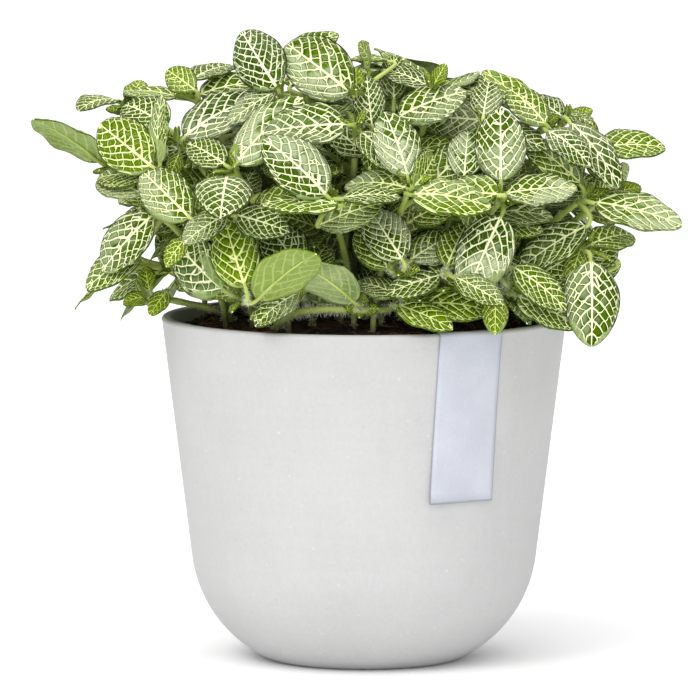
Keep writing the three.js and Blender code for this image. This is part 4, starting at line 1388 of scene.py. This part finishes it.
# %% [markdown]
# ## The soil
# Peat is a dark crumbly mass: lumps of all sizes, red-brown fibres and a few pale bits. The body
# is spun like the pot, from inside the wall up over a low heap, and the points of its top are
# lifted by a fractal noise. Loose crumbs and fibres lie on it, each of few faces.

# %% Body of the soil
HEAP_RINGS = 46
SOIL_STEPS = 150
SOIL_LIFT = 0.4  # over the top of the solid
SOIL_RELIEF = 1.2 * MM


def lumps(x, y):
    place = Vector((x, y, 7.0))
    coarse = noise.fractal(place * 0.11, 1.0, 2.0, 3)
    fine = noise.fractal(place * 0.5, 0.8, 2.0, 3)
    return 1.1 * coarse + 0.7 * fine


def soil_top(x, y):
    radius = math.hypot(x, y)
    return soil_height(radius) + SOIL_LIFT + lumps(x, y)


bowl = bowl_outline(WALL + SOIL_SLACK, SOIL_EDGE - 3, 12)
reach = wall_radius(WALL + SOIL_SLACK, SOIL_EDGE)
heap = [(reach * (1 - i / HEAP_RINGS), SOIL_EDGE) for i in range(HEAP_RINGS + 1)]
soil_mesh = spun(bowl + heap, SOIL_STEPS)
for point in soil_mesh.verts:
    x, y, z = point.co / MM
    if z > SOIL_EDGE - 1:
        point.co.z = soil_top(x, y) * MM
soil_mesh.normal_update()


def peat():
    material, tree, shader = finish_of("peat")
    place = object_place(tree)
    broad = blend(tree, step(tree, grain(tree, place, 120, 4, 0.7), 0.35, 0.65),
                  paint(34, 27, 20), paint(78, 60, 44))
    specks = step(tree, grain(tree, place, 1500, 2), 0.62, 0.72)
    colour = blend(tree, calc(tree, "MULTIPLY", specks, 0.5), broad, paint(118, 88, 62))
    roughness = step(tree, grain(tree, place, 500), 0.3, 0.7, 0.85, 1.0)
    dress(tree, shader, colour, roughness, gloss=0.2)
    relief(tree, shader, grain(tree, place, 900, 5, 0.7), SOIL_RELIEF, 0.9)
    return material


PEAT = peat()
soil = piece_from(soil_mesh, "peat_soil", (PEAT,), "soil")
print("peat soil:", len(soil.data.polygons), "faces")

# %% Crumbs on the soil
SOIL_SEED = 12000
CRUMBS, CRUMBS_REACH = 700, 71
CRUMB_ROUGH, CRUMB_DENT = 900, 0.25 * MM

draw = dice(SOIL_SEED)
crumbs = bmesh.new()
for _ in range(CRUMBS):
    angle, radius = draw(0, 2 * math.pi), CRUMBS_REACH * math.sqrt(draw(0.1, 1))
    x, y = radius * math.cos(angle), radius * math.sin(angle)
    size = 0.5 + 1.5 * draw() ** 3
    turn = Matrix.Rotation(draw(0, 6), 4, Vector((draw(-1, 1), draw(-1, 1), draw(-1, 1))))
    flat = Matrix.Diagonal((draw(0.7, 1.3), draw(0.6, 1.1), draw(0.5, 0.9), 1))
    spot = Vector((x, y, soil_top(x, y) + size * 0.2)) * MM
    put = Matrix.Translation(spot) @ turn @ flat
    bmesh.ops.create_icosphere(crumbs, subdivisions=1, radius=size * MM, matrix=put)
noise.seed_set(SOIL_SEED)  # without a seed this noise would follow the clock
for point in crumbs.verts:
    point.co += noise.noise_vector(point.co * CRUMB_ROUGH) * CRUMB_DENT
piece_from(crumbs, "peat_crumbs", (PEAT,))
print(CRUMBS, "crumbs on the soil")

# %% Fibres on the soil
FIBRES, FIBRES_REACH, FIBRES_EDGE = 130, 70, 72
FIBRE_STEPS = 6
LEAST_POINTS = 4  # a fibre that leaves the soil sooner isn't laid


def fibre_finish():
    material, tree, shader = finish_of("peat_fibre")
    mottle = grain(tree, object_place(tree), 200)
    dress(tree, shader, blend(tree, mottle, paint(70, 44, 28), paint(142, 98, 62)), 0.9)
    return material


FIBRE = fibre_finish()
fibres = bmesh.new()
for _ in range(FIBRES):
    angle, radius = draw(0, 2 * math.pi), FIBRES_REACH * math.sqrt(draw(0.2, 1))
    heading, length = draw(0, 2 * math.pi), draw(4, 14)
    bend = draw(-1.6, 1.6)
    spot = Vector((radius * math.cos(angle), radius * math.sin(angle), 0))
    path = []
    for i in range(FIBRE_STEPS + 1):
        if spot.length > FIBRES_EDGE:
            break
        lift = 0.3 + 1.4 * math.sin(math.pi * i / FIBRE_STEPS) * draw(0.2, 1)
        path.append(spot + UP * (soil_top(spot.x, spot.y) + lift))
        heading += bend / FIBRE_STEPS
        spot += Vector((math.cos(heading), math.sin(heading), 0)) * (length / FIBRE_STEPS)
    if len(path) >= LEAST_POINTS:
        thick = draw(0.1, 0.28)
        radii = [thick * (1.2 - 0.7 * i / len(path)) for i in range(len(path))]
        tube(fibres, path, radii, 4, 0)
piece_from(fibres, "peat_fibres", (FIBRE,))
print("up to", FIBRES, "fibres on the soil")

# %% [markdown]
# ## The paper tag
# A plain strip of stiff smooth paper hangs over the rim on the right of the front. It goes over the
# lip in a soft bend, follows the wall, and its lower corners stand off a little. The strip starts
# as a grid whose columns follow that path, and it gets its thickness last. The grid's own map
# tells the material where the cut edges run, and a thin grey line is painted along them as a
# painted shadow at the edge.

# %% Fold the tag over the rim
TAG_WIDTH = 28.5
TAG_DROP = 67.0
TAG_TUCK = 4.4
TAG_TURN = math.radians(31.5)
TAG_PAPER = 0.35
TAG_STAND_OFF = 0.45
TAG_BEND_STEPS = 6
TAG_HANG_FROM = 3  # under the rim, where the bend is over
TAG_HANG_STEPS = 14
TAG_ROWS = 12
TAG_FLARE, TAG_RIPPLE = 0.9, 0.12
PAPER_RELIEF = 0.05 * MM


def tag_path():
    """Points in the plane through the pot's axis: up inside the wall, over the lip and down."""
    off = TAG_STAND_OFF
    low_inside = POT_HEIGHT - TAG_TUCK
    path = [(wall_radius(WALL + off, low_inside), low_inside)] + lip(off, TAG_BEND_STEPS)[::-1]
    for i in range(1, TAG_HANG_STEPS + 1):
        hung = TAG_HANG_FROM + (TAG_DROP - TAG_HANG_FROM) * i / TAG_HANG_STEPS
        path.append((wall_radius(-off, POT_HEIGHT - hung), POT_HEIGHT - hung))
    return path


def tag_point(path, share, across):
    at = share * (len(path) - 1)
    i = min(int(at), len(path) - 2)
    (r0, z0), (r1, z1) = path[i], path[i + 1]
    radius, height = r0 + (r1 - r0) * (at - i), z0 + (z1 - z0) * (at - i)
    hanging = max(POT_HEIGHT - height, 0) / TAG_DROP if share > 0.4 else 0
    radius += TAG_FLARE * hanging**3 * (0.35 + abs(across) ** 2)
    radius += TAG_RIPPLE * math.sin(9 * hanging + 2 * across) * hanging
    spin = TAG_TURN + across * TAG_WIDTH / 2 / RIM_RADIUS * (1 + 0.10 * hanging)
    return Vector((radius * math.sin(spin), -radius * math.cos(spin), height)) * MM


path = tag_path()
tag = bmesh.new()
tag.loops.layers.uv.new("strip")
grid = bmesh.ops.create_grid(tag, x_segments=len(path) - 1, y_segments=TAG_ROWS, size=0.5,
                             calc_uvs=True)["verts"]
for point in grid:
    point.co = tag_point(path, point.co.x + 0.5, point.co.y * 2)
bmesh.ops.recalc_face_normals(tag, faces=tag.faces)
bmesh.ops.solidify(tag, geom=tag.faces[:], thickness=TAG_PAPER * MM)
bmesh.ops.recalc_face_normals(tag, faces=tag.faces)


def paper():
    material, tree, shader = finish_of("tag_paper")
    place = object_place(tree)
    pulp = grain(tree, place, 1200, 4, 0.7)
    clouds = grain(tree, place, 60, 3)
    mixed = calc(tree, "MULTIPLY_ADD", pulp, 0.5, calc(tree, "MULTIPLY", clouds, 0.5))
    sheet = blend(tree, step(tree, mixed, 0.35, 0.65), paint(181, 184, 194), paint(192, 195, 205))
    strip = add(tree, "SeparateXYZ", {0: add(tree, "UVMap", uv_map="strip").outputs[0]}).outputs
    across = calc(tree, "ABSOLUTE", calc(tree, "MULTIPLY_ADD", strip[1], 2.0, -1.0))
    # Painted shadow: a thin grey line along the cut edges of the strip.
    painted_edge_shadow = calc(tree, "MAXIMUM", step(tree, across, 0.97, 0.99), step(tree, strip[0], 0.992, 0.998))
    colour = blend(tree, calc(tree, "MULTIPLY", painted_edge_shadow, 0.6), sheet, paint(128, 136, 138))
    dress(tree, shader, colour, step(tree, pulp, 0.3, 0.7, 0.5, 0.62))
    relief(tree, shader, pulp, PAPER_RELIEF, 0.4)
    return material


PAPER = paper()
piece_from(tag, "paper_tag_strip", (PAPER,), "paper_tag")
print("paper tag over the rim, drop", TAG_DROP, "mm")

# %% [markdown]
# ## The floor
# The plant stands on a plain pale floor that reaches past the camera's view on every side. It gets
# a very faint mottle, so that it isn't one flat colour. It belongs to the stage, not to the part.

# %% Floor
FLOOR_SQUARES = 8
FLOOR_HALF = 14.0  # metres


def floor_finish():
    material, tree, shader = finish_of("pale_floor")
    mottle = grain(tree, object_place(tree), 3.0, 3)
    colour = blend(tree, mottle, paint(249, 249, 249), paint(254, 254, 254))
    dress(tree, shader, colour, 0.9, gloss=0.1)
    return material


plane = bmesh.new()
bmesh.ops.create_grid(plane, x_segments=FLOOR_SQUARES, y_segments=FLOOR_SQUARES,
                      size=FLOOR_HALF)
floor_mesh = bpy.data.meshes.new("floor")
plane.to_mesh(floor_mesh)
plane.free()
floor_mesh.materials.append(floor_finish())
floor = bpy.data.objects.new("floor", floor_mesh)
scene.collection.objects.link(floor)
print("floor laid")
